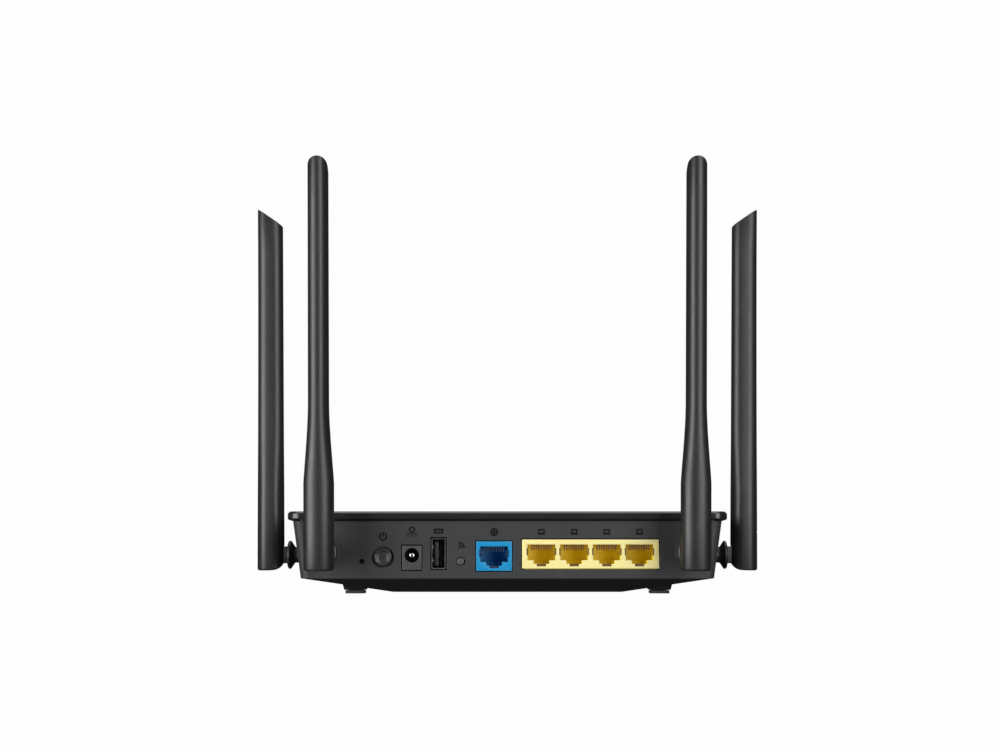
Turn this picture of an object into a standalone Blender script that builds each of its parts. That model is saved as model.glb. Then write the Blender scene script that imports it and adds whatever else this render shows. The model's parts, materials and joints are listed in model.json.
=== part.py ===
"""Wireless router with four tilting whip antennas, as separate sub-parts.

Metres, +Z up. The port panel faces -Y, the indicator lights are at +Y, z = 0 is the bottom of
the feet. "left" and "right" are as seen from behind, looking along +Y.
"""
import math

import bmesh
import bpy
from mathutils import Matrix, Vector

# Clearances and walls
GAP = 0.0003
WALL = 0.0022
FLOOR = 0.0020
PORT_CLEARANCE = 0.0004
CUT_OVERRUN = 0.0030

# Lower case: it widens to its middle, tapers downward, and has a shallow keel below the port panel
CASE_REAR_Y = -0.0601
CASE_DEPTH = 0.1435
CASE_HALF_REAR = 0.0919
CASE_BULGE = 0.0051
CASE_BULGE_REACH = 0.0750
BULGE_ROUND_SHARE = 0.2
CASE_RIM_Z = 0.0310
PANEL_FOOT_Z = 0.0065
KEEL_Z = 0.0006
SIDE_TAPER = math.radians(8.5)
KEEL_WIDTH_SHARE = 0.563
KEEL_REAR_RUN = 0.0090
KEEL_FRONT_RUN = 0.0200
REAR_CORNER_R = 0.0040
FRONT_CORNER_R = 0.0140
FRONT_BULGE = 0.0030
FRONT_STEPS = 6
CORNER_STEPS = 5
SMALLEST_REAR_CORNER_R = 0.0010
SMALLEST_FRONT_CORNER_R = 0.0020
CASE_FRONT_Y = CASE_REAR_Y + CASE_DEPTH

# Lid plate
LID_OVERHANG = 0.0020
LID_SIDE_OVERHANG = 0.0023
LID_THICKNESS = 0.0036
LID_BOTTOM_Z = CASE_RIM_Z + 0.0004
LID_TOP_Z = LID_BOTTOM_Z + LID_THICKNESS
LID_TOP_BEVEL = 0.0009
LID_BOTTOM_BEVEL = 0.0005
LIP_THICKNESS = 0.0012
LIP_DEPTH = 0.0018
JOIN_DEPTH = 0.0010

# Circuit board
BOARD_TOP_Z = 0.00935
BOARD_THICKNESS = 0.0016
BOARD_BOTTOM_Z = BOARD_TOP_Z - BOARD_THICKNESS
BOARD_REAR_Y = CASE_REAR_Y + 0.0040
BOARD_FRONT_Y = CASE_FRONT_Y - 0.0120
BOARD_HALF_WIDTH = CASE_HALF_REAR - 0.0150
BOARD_CORNER_CUT = 0.0130
STANDOFF_R = 0.0026
STANDOFF_INSET_X = 0.0065
STANDOFF_INSET_Y = 0.0200

# Case screws
SCREW_HEAD_R = 0.0029
SCREW_HEAD_HEIGHT = 0.0016
SCREW_SHAFT_R = 0.0014
SCREW_SEAT_Z = 0.0090
SCREW_LENGTH = 0.0150
CASE_POST_R = 0.0046
CASE_POST_TOP_Z = 0.0140
LID_POST_R = 0.0036
SCREW_X = BOARD_HALF_WIDTH + CASE_POST_R + 0.0012
SCREW_YS = {"rear": CASE_REAR_Y + 0.0190, "front": CASE_FRONT_Y - 0.0240}

# Feet
FOOT_X_SHARE = 0.715
FOOT_X = CASE_HALF_REAR * FOOT_X_SHARE
FOOT_YS = {"rear": CASE_REAR_Y + 0.0125, "front": CASE_FRONT_Y - 0.0300}
FOOT_PAD_SIZE = (0.0082, 0.0124)
FOOT_PAD_HEIGHT = 0.0012
FOOT_PAD_CORNER_R = 0.0020
FOOT_SOLE_SHARE = 0.95
FOOT_SOLE_BEVEL = 0.0004
FOOT_STEM_R = 0.0018
FOOT_STEM_LENGTH = 0.0014
FOOT_BOSS_SIZE = (0.0088, 0.0130)
FOOT_BOSS_FLARE = 1.28

# Antennas: a collar swivels in the wall, a whip tilts on the collar's tongue
REAR_SWIVEL_Z = 0.0173
SIDE_SWIVEL_Z = 0.0164
REAR_SWIVEL_X = CASE_HALF_REAR - 0.0135
SIDE_SWIVEL_Y = CASE_REAR_Y + CASE_BULGE_REACH
BARREL_R = 0.00445
BARREL_INNER_LENGTH = 0.0070
BARREL_NOSE_BEVEL = 0.0004
BARB_R = 0.0057
BARB_RAMP = 0.0016
BARB_SEAT = WALL + 0.0015
CABLE_BORE_R = 0.0016
CABLE_BORE_END = 0.0032
FLANGE_R = 0.00665
WAIST_R = 0.0037
WAIST_START = 0.0040
WAIST_RAMP = 0.0008
FLANGE_START = 0.0056
FLANGE_FACE = 0.0090
FLANGE_RIM_DEPTH = 0.0014
FLANGE_RIM_BEVEL = (0.0008, 0.0006)
TONGUE_THICKNESS = 0.0050
TONGUE_HALF_HEIGHT = 0.0040
PIN_REACH = 0.0179
PIN_R = 0.0012
PIN_HALF_LENGTH = 0.0046
BASE_RING_R = 0.0068
BASE_RING_PROUD = 0.0009
BARB_BOSS_R = 0.0061
REAR_SPLAY = math.radians(0.7)
REAR_LEAN = math.radians(1.5)
SIDE_LEAN = math.radians(0.86)

# Whip, in its own frame: origin on the tilt pin, +X away from the wall, +Z up the whip
WHIP_BELOW_PIN = 0.0073
WHIP_ABOVE_PIN = 0.1668
WHIP_INNER_X = -0.0070
WHIP_INNER_LEAN = 0.0009
WHIP_DEPTH = 0.0126
WHIP_TIP_KICK = 0.0004
WHIP_WIDE_HALF = 0.00625
WHIP_SLIM_HALF = 0.00425
WHIP_FLARE_START = 0.0291
WHIP_FLARE_LENGTH = 0.0343
WHIP_CORNER_R = 0.0040
WHIP_FOOT_BEVEL = 0.0006
WHIP_FLARE_SHARES = (0.0, 0.12, 0.28, 0.5, 0.75, 1.0)
WHIP_UPPER_SHARES = (0.75, 0.9)
WHIP_TIP_SPARE = 0.0020
WHIP_TIP_SLANT = math.radians(35.5)
WHIP_HEEL_R = 0.0074
HINGE_CUT_SPARE = 0.0030
WHIP_CAVITY_BOTTOM = 0.0090
WHIP_CAVITY_TOP = 0.1520
WHIP_CAVITY_HALF_WIDTH = 0.0027
WHIP_CAVITY_HALF_DEPTH = 0.0033
WHIP_NECK_HALF_WIDTH = 0.0015
STRIP_THICKNESS = 0.0008

# Sockets in the port panel: centre X, bottom Z, and the block's width and height
PANEL_FACE_Y = CASE_REAR_Y + 0.0002
LAN_CENTRE_X = 0.0355
LAN_PITCH = 0.01397
LAN_PORTS = 4
LAN_SIZE = (0.0585, 0.0210, 0.0123)
LAN_BOTTOM_Z = 0.0107
WAN_CENTRE_X = -0.0057
WAN_SIZE = (0.0152, 0.0180, 0.0125)
WAN_BOTTOM_Z = 0.0097
PORT_HALF_WIDTH = 0.00595
PORT_HEIGHT = 0.0067
PORT_DEPTH = 0.0140
PORT_TOP_MARGIN = 0.0021
PORT_SIDE_SLOT = 0.0004
PORT_SIDE_SLOT_TOP = 0.0015
PORT_SIDE_SLOT_BOTTOM = 0.0046
LATCH_STEPS = ((0.0034, 0.0015), (0.0020, 0.0011))
JACK_BASE_INSET = 0.0010
CONTACT_COUNT = 8
CONTACT_PITCH = 0.00102
CONTACT_WIDTH = 0.00045
CONTACT_THICKNESS = 0.0004
CONTACT_LENGTH = 0.0085
CONTACT_STRIP_WIDTH = 0.0010
CONTACT_SETBACK = 0.0012
CONTACT_SLOPE = math.radians(-11.0)
USB_CENTRE_X = -0.0294
USB_BOTTOM_Z = 0.0104
USB_SIZE = (0.0061, 0.0160, 0.0132)
USB_SHELL_WALL = 0.0004
USB_TONGUE_SIZE = (0.0016, 0.0090, 0.0104)
USB_TONGUE_OFFSET = -0.0010
USB_BASE_DEPTH = 0.0040
DC_CENTRE_X = -0.0408
DC_BOTTOM_Z = 0.0100
DC_SIZE = (0.0083, 0.0130, 0.0104)
DC_HOLE_R = 0.00305
DC_HOLE_Z = 0.0163
DC_HOLE_DEPTH = 0.0095
DC_PIN_R = 0.0012
DC_PIN_HEAD_R = 0.0021
DC_PIN_HEAD_THICKNESS = 0.0010
DC_PIN_SETBACK = 0.0008
DC_PIN_NOSE = 0.0006
DC_PIN_NOSE_SHARE = 0.6

# Buttons: centre X and Z, cap radius, travel
POWER_AT = (-0.0531, 0.0155)
POWER_CAP_R = 0.0038
POWER_RING_R = 0.0046
POWER_PROUD = 0.0014
POWER_TRAVEL = 0.0015
PAIR_AT = (-0.0200, 0.0137)
PAIR_CAP_R = 0.00155
PAIR_RING_R = 0.0021
PAIR_PROUD = 0.0004
PAIR_TRAVEL = 0.0005
RESET_AT = (-0.0622, 0.0137)
RESET_HOLE_R = 0.0011
RESET_RING_R = 0.0013
RESET_CAP_R = 0.0008
RESET_PROUD = -0.0010
RESET_TRAVEL = 0.0005
BUTTON_RING_DEPTH = 0.0005
BUTTON_FLANGE_THICKNESS = 0.0008
BUTTON_STEM_SHARE = 0.55
SWITCH_SOCKET_DEPTH = 0.0030
SWITCH_SOCKET_SHARE = 1.3
BUTTON_EDGE_BEVEL = 0.0002
BUTTON_FLANGE_WIDTH = 0.0007
POWER_SWITCH_SIZE = (0.0080, 0.0090, 0.0036)
SMALL_SWITCH_SIZE = (0.0060, 0.0060, 0.0030)
PANEL_HOLE_STEPS = 36

# Indicator lights and vents
LIGHT_COUNT = 8
LIGHT_PITCH = 0.0080
LIGHT_SIZE = (0.0040, 0.0014)
LIGHT_Y = CASE_FRONT_Y - 0.0150
LIGHT_BAR_SIZE = (0.0640, 0.0040, 0.0020)
LID_VENT_COUNT = 6
LID_VENT_SIZE = (0.0018, 0.0150)
LID_VENT_PITCH = 0.0050
LID_VENT_Y = CASE_REAR_Y + 0.0330
LID_VENT_X = 0.0480
FLOOR_VENT_COUNT = 5
FLOOR_VENT_SIZE = (0.0020, 0.0200)
FLOOR_VENT_PITCH = 0.0055
FLOOR_VENT_X = 0.0230
FLOOR_VENT_YS = (-0.0200, 0.0300)
KEYHOLE_X = 0.0400
KEYHOLE_Y = 0.0050
KEYHOLE_HEAD_R = 0.0036
KEYHOLE_NECK_R = 0.0019
KEYHOLE_SLIDE = 0.0060

# Board components: centre X, centre Y, size
MAIN_CHIP = ((0.0020, 0.0020), (0.0180, 0.0180, 0.0016))
SWITCH_CHIP = ((0.0380, -0.0150), (0.0140, 0.0140, 0.0012))
MEMORY_CHIP = ((-0.0240, 0.0050), (0.0090, 0.0130, 0.0011))
LAN_MAGNETICS = ((LAN_CENTRE_X, -0.0330), (0.0280, 0.0090, 0.0055))
WAN_MAGNETICS = ((WAN_CENTRE_X, -0.0350), (0.0130, 0.0090, 0.0050))
SHIELD_X = BOARD_HALF_WIDTH - 0.0295
SHIELD_SIZE = (0.0240, 0.0260, 0.0030)
SHIELD_LEFT = ((-SHIELD_X, 0.0180), SHIELD_SIZE)
SHIELD_RIGHT = ((SHIELD_X, 0.0180), SHIELD_SIZE)
SHIELD_WALL = 0.0005
CAPACITOR_AT = (-0.0410, -0.0370)
CAPACITOR_R = 0.0040
CAPACITOR_HEIGHT = 0.0110
CAPACITOR_BEVEL = 0.0004
HEAT_SINK_SIZE = (0.0340, 0.0340, 0.0020)
HEAT_SINK_FINS = 8
HEAT_SINK_FIN_THICKNESS = 0.0012
HEAT_SINK_FIN_HEIGHT = 0.0070

# Antenna cables inside the case
CABLE_R = 0.00068
CABLE_STEP = 0.0032
CABLE_Z = BOARD_TOP_Z + GAP + CABLE_R + 0.0001
CABLE_END_X = SHIELD_X + SHIELD_SIZE[0] / 2.0 + 0.0012

ROUND_STEPS = 24
SMALL_ROUND_STEPS = 12


def clear_scene():
    """Remove every object that is in the file."""
    for leftover in list(bpy.data.objects):
        bpy.data.objects.remove(leftover, do_unlink=True)


def make_material(name, colour, roughness, metallic=0.0):
    """A Principled material with one colour."""
    material = bpy.data.materials.new(name)
    material.use_nodes = True
    shader = material.node_tree.nodes["Principled BSDF"]
    shader.inputs["Base Color"].default_value = (*colour, 1.0)
    shader.inputs["Roughness"].default_value = roughness
    shader.inputs["Metallic"].default_value = metallic
    material.diffuse_color = (*colour, 1.0)
    return material


def link_mesh(name, mesh, material=None, parent=None):
    """Put a mesh in the scene as a named object."""
    thing = bpy.data.objects.new(name, mesh)
    bpy.context.collection.objects.link(thing)
    if material is not None and not mesh.materials:
        mesh.materials.append(material)
    thing.parent = parent
    return thing


def finish(name, bm, material=None, parent=None, round_shape=False):
    """Turn a bmesh into a named object, with its faces pointing out."""
    bmesh.ops.recalc_face_normals(bm, faces=bm.faces)
    mesh = bpy.data.meshes.new(name)
    bm.to_mesh(mesh)
    bm.free()
    if round_shape:
        mesh.shade_smooth()
        mesh.set_sharp_from_angle(angle=math.radians(35.0))
    return link_mesh(name, mesh, material, parent)


def make_cutter(name, bm, parent=None):
    """A hidden helper that other shapes are cut or joined with."""
    cutter = finish(name, bm, parent=parent)
    cutter.hide_render = True
    cutter.display_type = "WIRE"
    return cutter


def combine(target, helper, operation):
    """Add an exact Boolean to the target."""
    modifier = target.modifiers.new(helper.name, "BOOLEAN")
    modifier.operation = operation
    modifier.object = helper
    modifier.solver = "EXACT"


def empty_at(name, location, rotation=(0.0, 0.0, 0.0), parent=None):
    """An empty that carries the pieces turning about one axis."""
    axis = bpy.data.objects.new(name, None)
    bpy.context.collection.objects.link(axis)
    axis.location = location
    axis.rotation_euler = rotation
    axis.parent = parent
    return axis


def add_box(bm, low, high):
    """Add a box between two corners."""
    size = Vector(high) - Vector(low)
    centre = (Vector(high) + Vector(low)) / 2.0
    matrix = Matrix.Translation(centre) @ Matrix.Diagonal((*size, 1.0))
    return bmesh.ops.create_cube(bm, size=1.0, matrix=matrix)["verts"]


def add_cylinder(bm, start, direction, length, radius, far_radius=None, steps=ROUND_STEPS):
    """Add a cylinder or cone from a start point along a direction."""
    turn = Vector(direction).to_track_quat("Z", "Y").to_matrix().to_4x4()
    matrix = Matrix.Translation(start) @ turn @ Matrix.Translation((0.0, 0.0, length / 2.0))
    far = radius if far_radius is None else far_radius
    bmesh.ops.create_cone(bm, cap_ends=True, segments=steps, radius1=radius, radius2=far,
                          depth=length, matrix=matrix)


def skin(bm, loops, ring=False):
    """Join loops of equal length with faces, and cap the ends or close them into a ring."""
    rows = [[bm.verts.new(point) for point in loop] for loop in loops]
    count = len(rows[0])
    pairs = list(zip(rows, rows[1:]))
    if ring:
        pairs.append((rows[-1], rows[0]))
    for lower, upper in pairs:
        for index in range(count):
            after = (index + 1) % count
            bm.faces.new((lower[index], lower[after], upper[after], upper[index]))
    if not ring:
        bm.faces.new(list(reversed(rows[0])))
        bm.faces.new(rows[-1])


def extrude_outline(bm, outline, start, offset):
    """A prism: an outline of 3-D points, moved by start and swept along offset."""
    first = [Vector(point) + Vector(start) for point in outline]
    skin(bm, [first, [point + Vector(offset) for point in first]])


def arc(centre, radius, start, end, steps):
    """Points of an arc in a plane, angles in degrees."""
    points = []
    for step in range(steps + 1):
        angle = math.radians(start + (end - start) * step / steps)
        points.append((centre[0] + radius * math.cos(angle), centre[1] + radius * math.sin(angle)))
    return points


def rounded(corners, steps=3):
    """A closed 2-D outline from (x, y, radius) corners, each rounded by its own arc."""
    outline = []
    for index, (x, y, radius) in enumerate(corners):
        here = Vector((x, y))
        if radius <= 0.0:
            outline.append((x, y))
            continue
        before = Vector(corners[index - 1][:2]) - here
        after = Vector(corners[(index + 1) % len(corners)][:2]) - here
        half = before.angle(after) / 2.0
        middle = (before.normalized() + after.normalized()).normalized()
        centre = here + middle * (radius / math.sin(half))
        enter = here + before.normalized() * (radius / math.tan(half)) - centre
        leave = here + after.normalized() * (radius / math.tan(half)) - centre
        sweep = enter.angle_signed(leave)
        for step in range(steps + 1):
            turn = -sweep * step / steps
            cosine, sine = math.cos(turn), math.sin(turn)
            outline.append((centre.x + enter.x * cosine - enter.y * sine,
                            centre.y + enter.x * sine + enter.y * cosine))
    return outline


def turned(profile, axis, steps):
    """Spin a profile of (radius, distance along the axis) points into a closed solid."""
    bm = bmesh.new()
    verts = []
    for radius, along in profile:
        point = (radius, 0.0, along) if axis == "Z" else (along, radius, 0.0)
        verts.append(bm.verts.new(point))
    edges = [bm.edges.new(pair) for pair in zip(verts, verts[1:])]
    direction = (0, 0, 1) if axis == "Z" else (1, 0, 0)
    bmesh.ops.spin(bm, geom=verts + edges, cent=(0, 0, 0), axis=direction, angle=math.tau,
                   steps=steps, use_merge=True)
    bmesh.ops.remove_doubles(bm, verts=bm.verts, dist=0.000001)
    return bm


def side_sag(y):
    """How far a side has come in from its widest place: a soft bend, then a straight run."""
    share = abs(y - SIDE_SWIVEL_Y) / CASE_BULGE_REACH
    bend = BULGE_ROUND_SHARE
    steepness = 1.0 / (2.0 * bend - bend * bend)
    if share < bend:
        return CASE_BULGE * steepness * share * share
    return CASE_BULGE * steepness * (bend * bend + 2.0 * bend * (share - bend))


def bulging_side(half_rear, rear_y, front_y):
    """Points of one side, from the rear corner to the front corner."""
    bend = BULGE_ROUND_SHARE * CASE_BULGE_REACH
    middle = [SIDE_SWIVEL_Y + bend * share for share in (-1.0, -0.5, 0.0, 0.5, 1.0)]
    return [(half_rear + CASE_BULGE - side_sag(y), y) for y in (rear_y, *middle, front_y)]


def plan_outline(side_inset, rear_inset, front_inset):
    """The case's plan, counter-clockwise, moved inwards by three insets (outwards if negative)."""
    rear_y = CASE_REAR_Y + rear_inset
    front_y = CASE_FRONT_Y - front_inset
    side = bulging_side(CASE_HALF_REAR - side_inset, rear_y, front_y)
    rear_r = max(REAR_CORNER_R - rear_inset, SMALLEST_REAR_CORNER_R)
    front_r = max(FRONT_CORNER_R - front_inset, SMALLEST_FRONT_CORNER_R)
    right = [(x, y, 0.0) for x, y in side]
    right[0] = (*side[0], rear_r)
    right[-1] = (*side[-1], front_r)
    left = [(-x, y, r) for x, y, r in reversed(right)]
    half_front = side[-1][0]
    front = []
    for step in range(1, FRONT_STEPS):
        across = 1.0 - 2.0 * step / FRONT_STEPS
        front.append((half_front * across, front_y + FRONT_BULGE * (1.0 - across ** 2), 0.0))
    return rounded(right + front + left, CORNER_STEPS)


def at_height(outline, z):
    """Lift a 2-D outline to a height."""
    return [(x, y, z) for x, y in outline]


def taper_inset(z):
    """How far the case's side and front walls lean in at a height."""
    return (CASE_RIM_Z - z) * math.tan(SIDE_TAPER)


def keel_outline(inset):
    """The flat bottom of the keel, a smaller copy of the panel-foot outline."""
    foot = taper_inset(PANEL_FOOT_Z)
    outline = plan_outline(foot + inset, inset, foot + inset)
    rear = CASE_REAR_Y + KEEL_REAR_RUN + inset
    front = CASE_FRONT_Y - foot - KEEL_FRONT_RUN - inset
    low = min(y for x, y in outline)
    high = max(y for x, y in outline)
    scale = (front - rear) / (high - low)
    return [(x * KEEL_WIDTH_SHARE, rear + (y - low) * scale) for x, y in outline]


def mirrored(xs):
    """Each value with its mirror image."""
    return [side * x for side in (-1.0, 1.0) for x in xs]


def slot_outline(centre, width, length, steps=2):
    """A round-ended slot along Y."""
    x, y = centre
    radius = width / 2.0
    reach = length / 2.0 - radius
    far_end = arc((x, y + reach), radius, 0, 180, steps)
    return far_end + arc((x, y - reach), radius, 180, 360, steps)


def vent_xs(centre_x, pitch, count):
    """X of each slot in a row of vents."""
    return [centre_x + (index - (count - 1) / 2.0) * pitch for index in range(count)]


def antenna_places():
    """Wall point, direction away from the wall, splay and outward lean of each antenna."""
    side_x = CASE_HALF_REAR + CASE_BULGE - taper_inset(SIDE_SWIVEL_Z)
    return {
        "rear_left": ((-REAR_SWIVEL_X, CASE_REAR_Y, REAR_SWIVEL_Z), -90.0, REAR_SPLAY, REAR_LEAN),
        "rear_right": ((REAR_SWIVEL_X, CASE_REAR_Y, REAR_SWIVEL_Z), -90.0, -REAR_SPLAY, REAR_LEAN),
        "side_left": ((-side_x, SIDE_SWIVEL_Y, SIDE_SWIVEL_Z), 180.0, 0.0, SIDE_LEAN),
        "side_right": ((side_x, SIDE_SWIVEL_Y, SIDE_SWIVEL_Z), 0.0, 0.0, SIDE_LEAN),
    }


def away_from_wall(degrees):
    """Unit vector for a direction in plan."""
    return Vector((math.cos(math.radians(degrees)), math.sin(math.radians(degrees)), 0.0))


def screw_places():
    """Name and X, Y of each case screw."""
    return {f"{end}_{side}": (sign * SCREW_X, y)
            for end, y in SCREW_YS.items() for side, sign in (("left", -1.0), ("right", 1.0))}


def foot_places():
    """Name and X, Y of each foot."""
    return {f"{end}_{side}": (sign * FOOT_X, y)
            for end, y in FOOT_YS.items() for side, sign in (("left", -1.0), ("right", 1.0))}


# ---------------------------------------------------------------- lower case

def case_bosses():
    """Foot bosses below the keel and rings round the antenna holes, joined to the case."""
    bm = bmesh.new()
    low_z = FOOT_PAD_HEIGHT + GAP
    for x, y in foot_places().values():
        half_x, half_y = FOOT_BOSS_SIZE[0] / 2.0, FOOT_BOSS_SIZE[1] / 2.0
        corner = [(x + half_x, y - half_y), (x + half_x, y + half_y),
                  (x - half_x, y + half_y), (x - half_x, y - half_y)]
        flare = FOOT_BOSS_FLARE
        wide = [(x + (px - x) * flare, y + (py - y) * flare) for px, py in corner]
        skin(bm, [at_height(corner, low_z), at_height(wide, PANEL_FOOT_Z)])
    for place, degrees, _, _ in antenna_places().values():
        out = away_from_wall(degrees)
        start = Vector(place) - out * (BARB_SEAT - GAP)
        add_cylinder(bm, start, out, BARB_SEAT - GAP + BASE_RING_PROUD, BASE_RING_R)
    return make_cutter("case_bosses_shape", bm)


def case_posts():
    """Screw posts and board standoffs that stay standing in the case's hollow."""
    bm = bmesh.new()
    start_z = -CUT_OVERRUN
    for x, y in screw_places().values():
        add_cylinder(bm, (x, y, start_z), (0, 0, 1), CASE_POST_TOP_Z - start_z, CASE_POST_R,
                     steps=SMALL_ROUND_STEPS)
    height = BOARD_BOTTOM_Z - GAP - start_z
    for x in mirrored([BOARD_HALF_WIDTH - STANDOFF_INSET_X]):
        for y in (BOARD_REAR_Y + STANDOFF_INSET_Y, BOARD_FRONT_Y - STANDOFF_INSET_Y):
            add_cylinder(bm, (x, y, start_z), (0, 0, 1), height, STANDOFF_R,
                         steps=SMALL_ROUND_STEPS)
    for place, degrees, _, _ in antenna_places().values():
        out = away_from_wall(degrees)
        start = Vector(place) - out * (BARB_SEAT - GAP)
        add_cylinder(bm, start, out, BARB_SEAT, BARB_BOSS_R)
    return make_cutter("case_posts_shape", bm)


def case_hollow():
    """The inside of the case, less the posts."""
    foot = taper_inset(PANEL_FOOT_Z)
    above = CASE_RIM_Z + CUT_OVERRUN
    bm = bmesh.new()
    skin(bm, [
        at_height(keel_outline(WALL), KEEL_Z + FLOOR),
        at_height(plan_outline(foot + WALL, WALL, foot + WALL), PANEL_FOOT_Z + FLOOR),
        at_height(plan_outline(taper_inset(above) + WALL, WALL, taper_inset(above) + WALL), above),
    ])
    hollow = make_cutter("case_hollow_shape", bm)
    combine(hollow, case_posts(), "DIFFERENCE")
    return hollow


def panel_cut_box(bm, centre_x, bottom_z, size):
    """A rectangular hole in the port panel with clearance round a socket."""
    half = size[0] / 2.0 + PORT_CLEARANCE
    low = (centre_x - half, CASE_REAR_Y - CUT_OVERRUN, bottom_z - PORT_CLEARANCE)
    high = (centre_x + half, CASE_REAR_Y + WALL + CUT_OVERRUN, bottom_z + size[2] + PORT_CLEARANCE)
    add_box(bm, low, high)


def case_cuts():
    """Socket openings, button holes, antenna holes and screw holes."""
    bm = bmesh.new()
    panel_cut_box(bm, LAN_CENTRE_X, LAN_BOTTOM_Z, LAN_SIZE)
    panel_cut_box(bm, WAN_CENTRE_X, WAN_BOTTOM_Z, WAN_SIZE)
    panel_cut_box(bm, USB_CENTRE_X, USB_BOTTOM_Z, USB_SIZE)
    panel_cut_box(bm, DC_CENTRE_X, DC_BOTTOM_Z, DC_SIZE)
    start_y = CASE_REAR_Y - CUT_OVERRUN
    through = WALL + 2.0 * CUT_OVERRUN
    holes = ((POWER_AT, POWER_CAP_R + GAP), (PAIR_AT, PAIR_CAP_R + GAP), (RESET_AT, RESET_HOLE_R))
    for at, hole_r in holes:
        add_cylinder(bm, (at[0], start_y, at[1]), (0, 1, 0), through, hole_r, steps=PANEL_HOLE_STEPS)
    for place, degrees, _, _ in antenna_places().values():
        out = away_from_wall(degrees)
        start = Vector(place) - out * (BARB_SEAT + CUT_OVERRUN)
        add_cylinder(bm, start, out, BARB_SEAT + 2.0 * CUT_OVERRUN, BARREL_R + GAP)
    for x, y in foot_places().values():
        add_cylinder(bm, (x, y, -CUT_OVERRUN), (0, 0, 1),
                     CUT_OVERRUN + FOOT_PAD_HEIGHT + FOOT_STEM_LENGTH + GAP, FOOT_STEM_R + GAP,
                     steps=SMALL_ROUND_STEPS)
    for x, y in screw_places().values():
        add_cylinder(bm, (x, y, SCREW_SEAT_Z - CUT_OVERRUN / 2.0), (0, 0, 1), CASE_POST_TOP_Z,
                     SCREW_SHAFT_R + GAP, steps=SMALL_ROUND_STEPS)
    return make_cutter("case_cuts_shape", bm)


def case_recesses():
    """Rings let into the panel, screw head recesses, floor vents and keyholes."""
    bm = bmesh.new()
    start_y = CASE_REAR_Y - CUT_OVERRUN
    for at, ring_r in ((POWER_AT, POWER_RING_R), (PAIR_AT, PAIR_RING_R), (RESET_AT, RESET_RING_R)):
        add_cylinder(bm, (at[0], start_y, at[1]), (0, 1, 0), CUT_OVERRUN + BUTTON_RING_DEPTH, ring_r,
                     steps=PANEL_HOLE_STEPS)
    for x, y in screw_places().values():
        add_cylinder(bm, (x, y, -CUT_OVERRUN), (0, 0, 1), CUT_OVERRUN + SCREW_SEAT_Z,
                     SCREW_HEAD_R + GAP, steps=SMALL_ROUND_STEPS)
    low_z = KEEL_Z - CUT_OVERRUN
    height = (0.0, 0.0, FLOOR + 2.0 * CUT_OVERRUN)
    for x in mirrored(vent_xs(FLOOR_VENT_X, FLOOR_VENT_PITCH, FLOOR_VENT_COUNT)):
        for y in FLOOR_VENT_YS:
            vent = slot_outline((x, y), *FLOOR_VENT_SIZE)
            extrude_outline(bm, at_height(vent, low_z), (0, 0, 0), height)
    return make_cutter("case_recesses_shape", bm)


def keyhole_cuts():
    """Two keyholes in the floor for hanging the case on screws."""
    neck_angle = math.degrees(math.asin(KEYHOLE_NECK_R / KEYHOLE_HEAD_R))
    bm = bmesh.new()
    for x in (-KEYHOLE_X, KEYHOLE_X):
        outline = arc((x, KEYHOLE_Y), KEYHOLE_HEAD_R, 90 + neck_angle, 450 - neck_angle, 12)
        outline += arc((x, KEYHOLE_Y + KEYHOLE_SLIDE), KEYHOLE_NECK_R, 0, 180, 5)
        extrude_outline(bm, at_height(outline, KEEL_Z - CUT_OVERRUN), (0, 0, 0),
                        (0, 0, FLOOR + 2.0 * CUT_OVERRUN))
    return make_cutter("keyhole_shape", bm)


def build_bottom_case(material):
    """Open-topped case with the port panel and the keel."""
    foot = taper_inset(PANEL_FOOT_Z)
    bm = bmesh.new()
    skin(bm, [
        at_height(keel_outline(0.0), KEEL_Z),
        at_height(plan_outline(foot, 0.0, foot), PANEL_FOOT_Z),
        at_height(plan_outline(0.0, 0.0, 0.0), CASE_RIM_Z),
    ])
    case = finish("bottom_case", bm, material)
    combine(case, case_bosses(), "UNION")
    combine(case, case_hollow(), "DIFFERENCE")
    combine(case, case_cuts(), "DIFFERENCE")
    combine(case, case_recesses(), "DIFFERENCE")
    combine(case, keyhole_cuts(), "DIFFERENCE")


# ---------------------------------------------------------------- lid

def lid_inner_shapes():
    """The lip that drops inside the case, and the screw posts."""
    bm = bmesh.new()
    low, high = LID_BOTTOM_Z - LIP_DEPTH, LID_BOTTOM_Z + JOIN_DEPTH
    outer_inset = WALL + GAP + taper_inset(low)
    inner_inset = outer_inset + LIP_THICKNESS
    outer = plan_outline(outer_inset, WALL + GAP, outer_inset)
    inner = plan_outline(inner_inset, WALL + GAP + LIP_THICKNESS, inner_inset)
    skin(bm, [at_height(outer, low), at_height(outer, high), at_height(inner, high),
              at_height(inner, low)], ring=True)
    post_low = CASE_POST_TOP_Z + GAP
    for x, y in screw_places().values():
        add_cylinder(bm, (x, y, post_low), (0, 0, 1), high - post_low, LID_POST_R,
                     steps=SMALL_ROUND_STEPS)
    return make_cutter("lid_inner_shape", bm)


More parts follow.
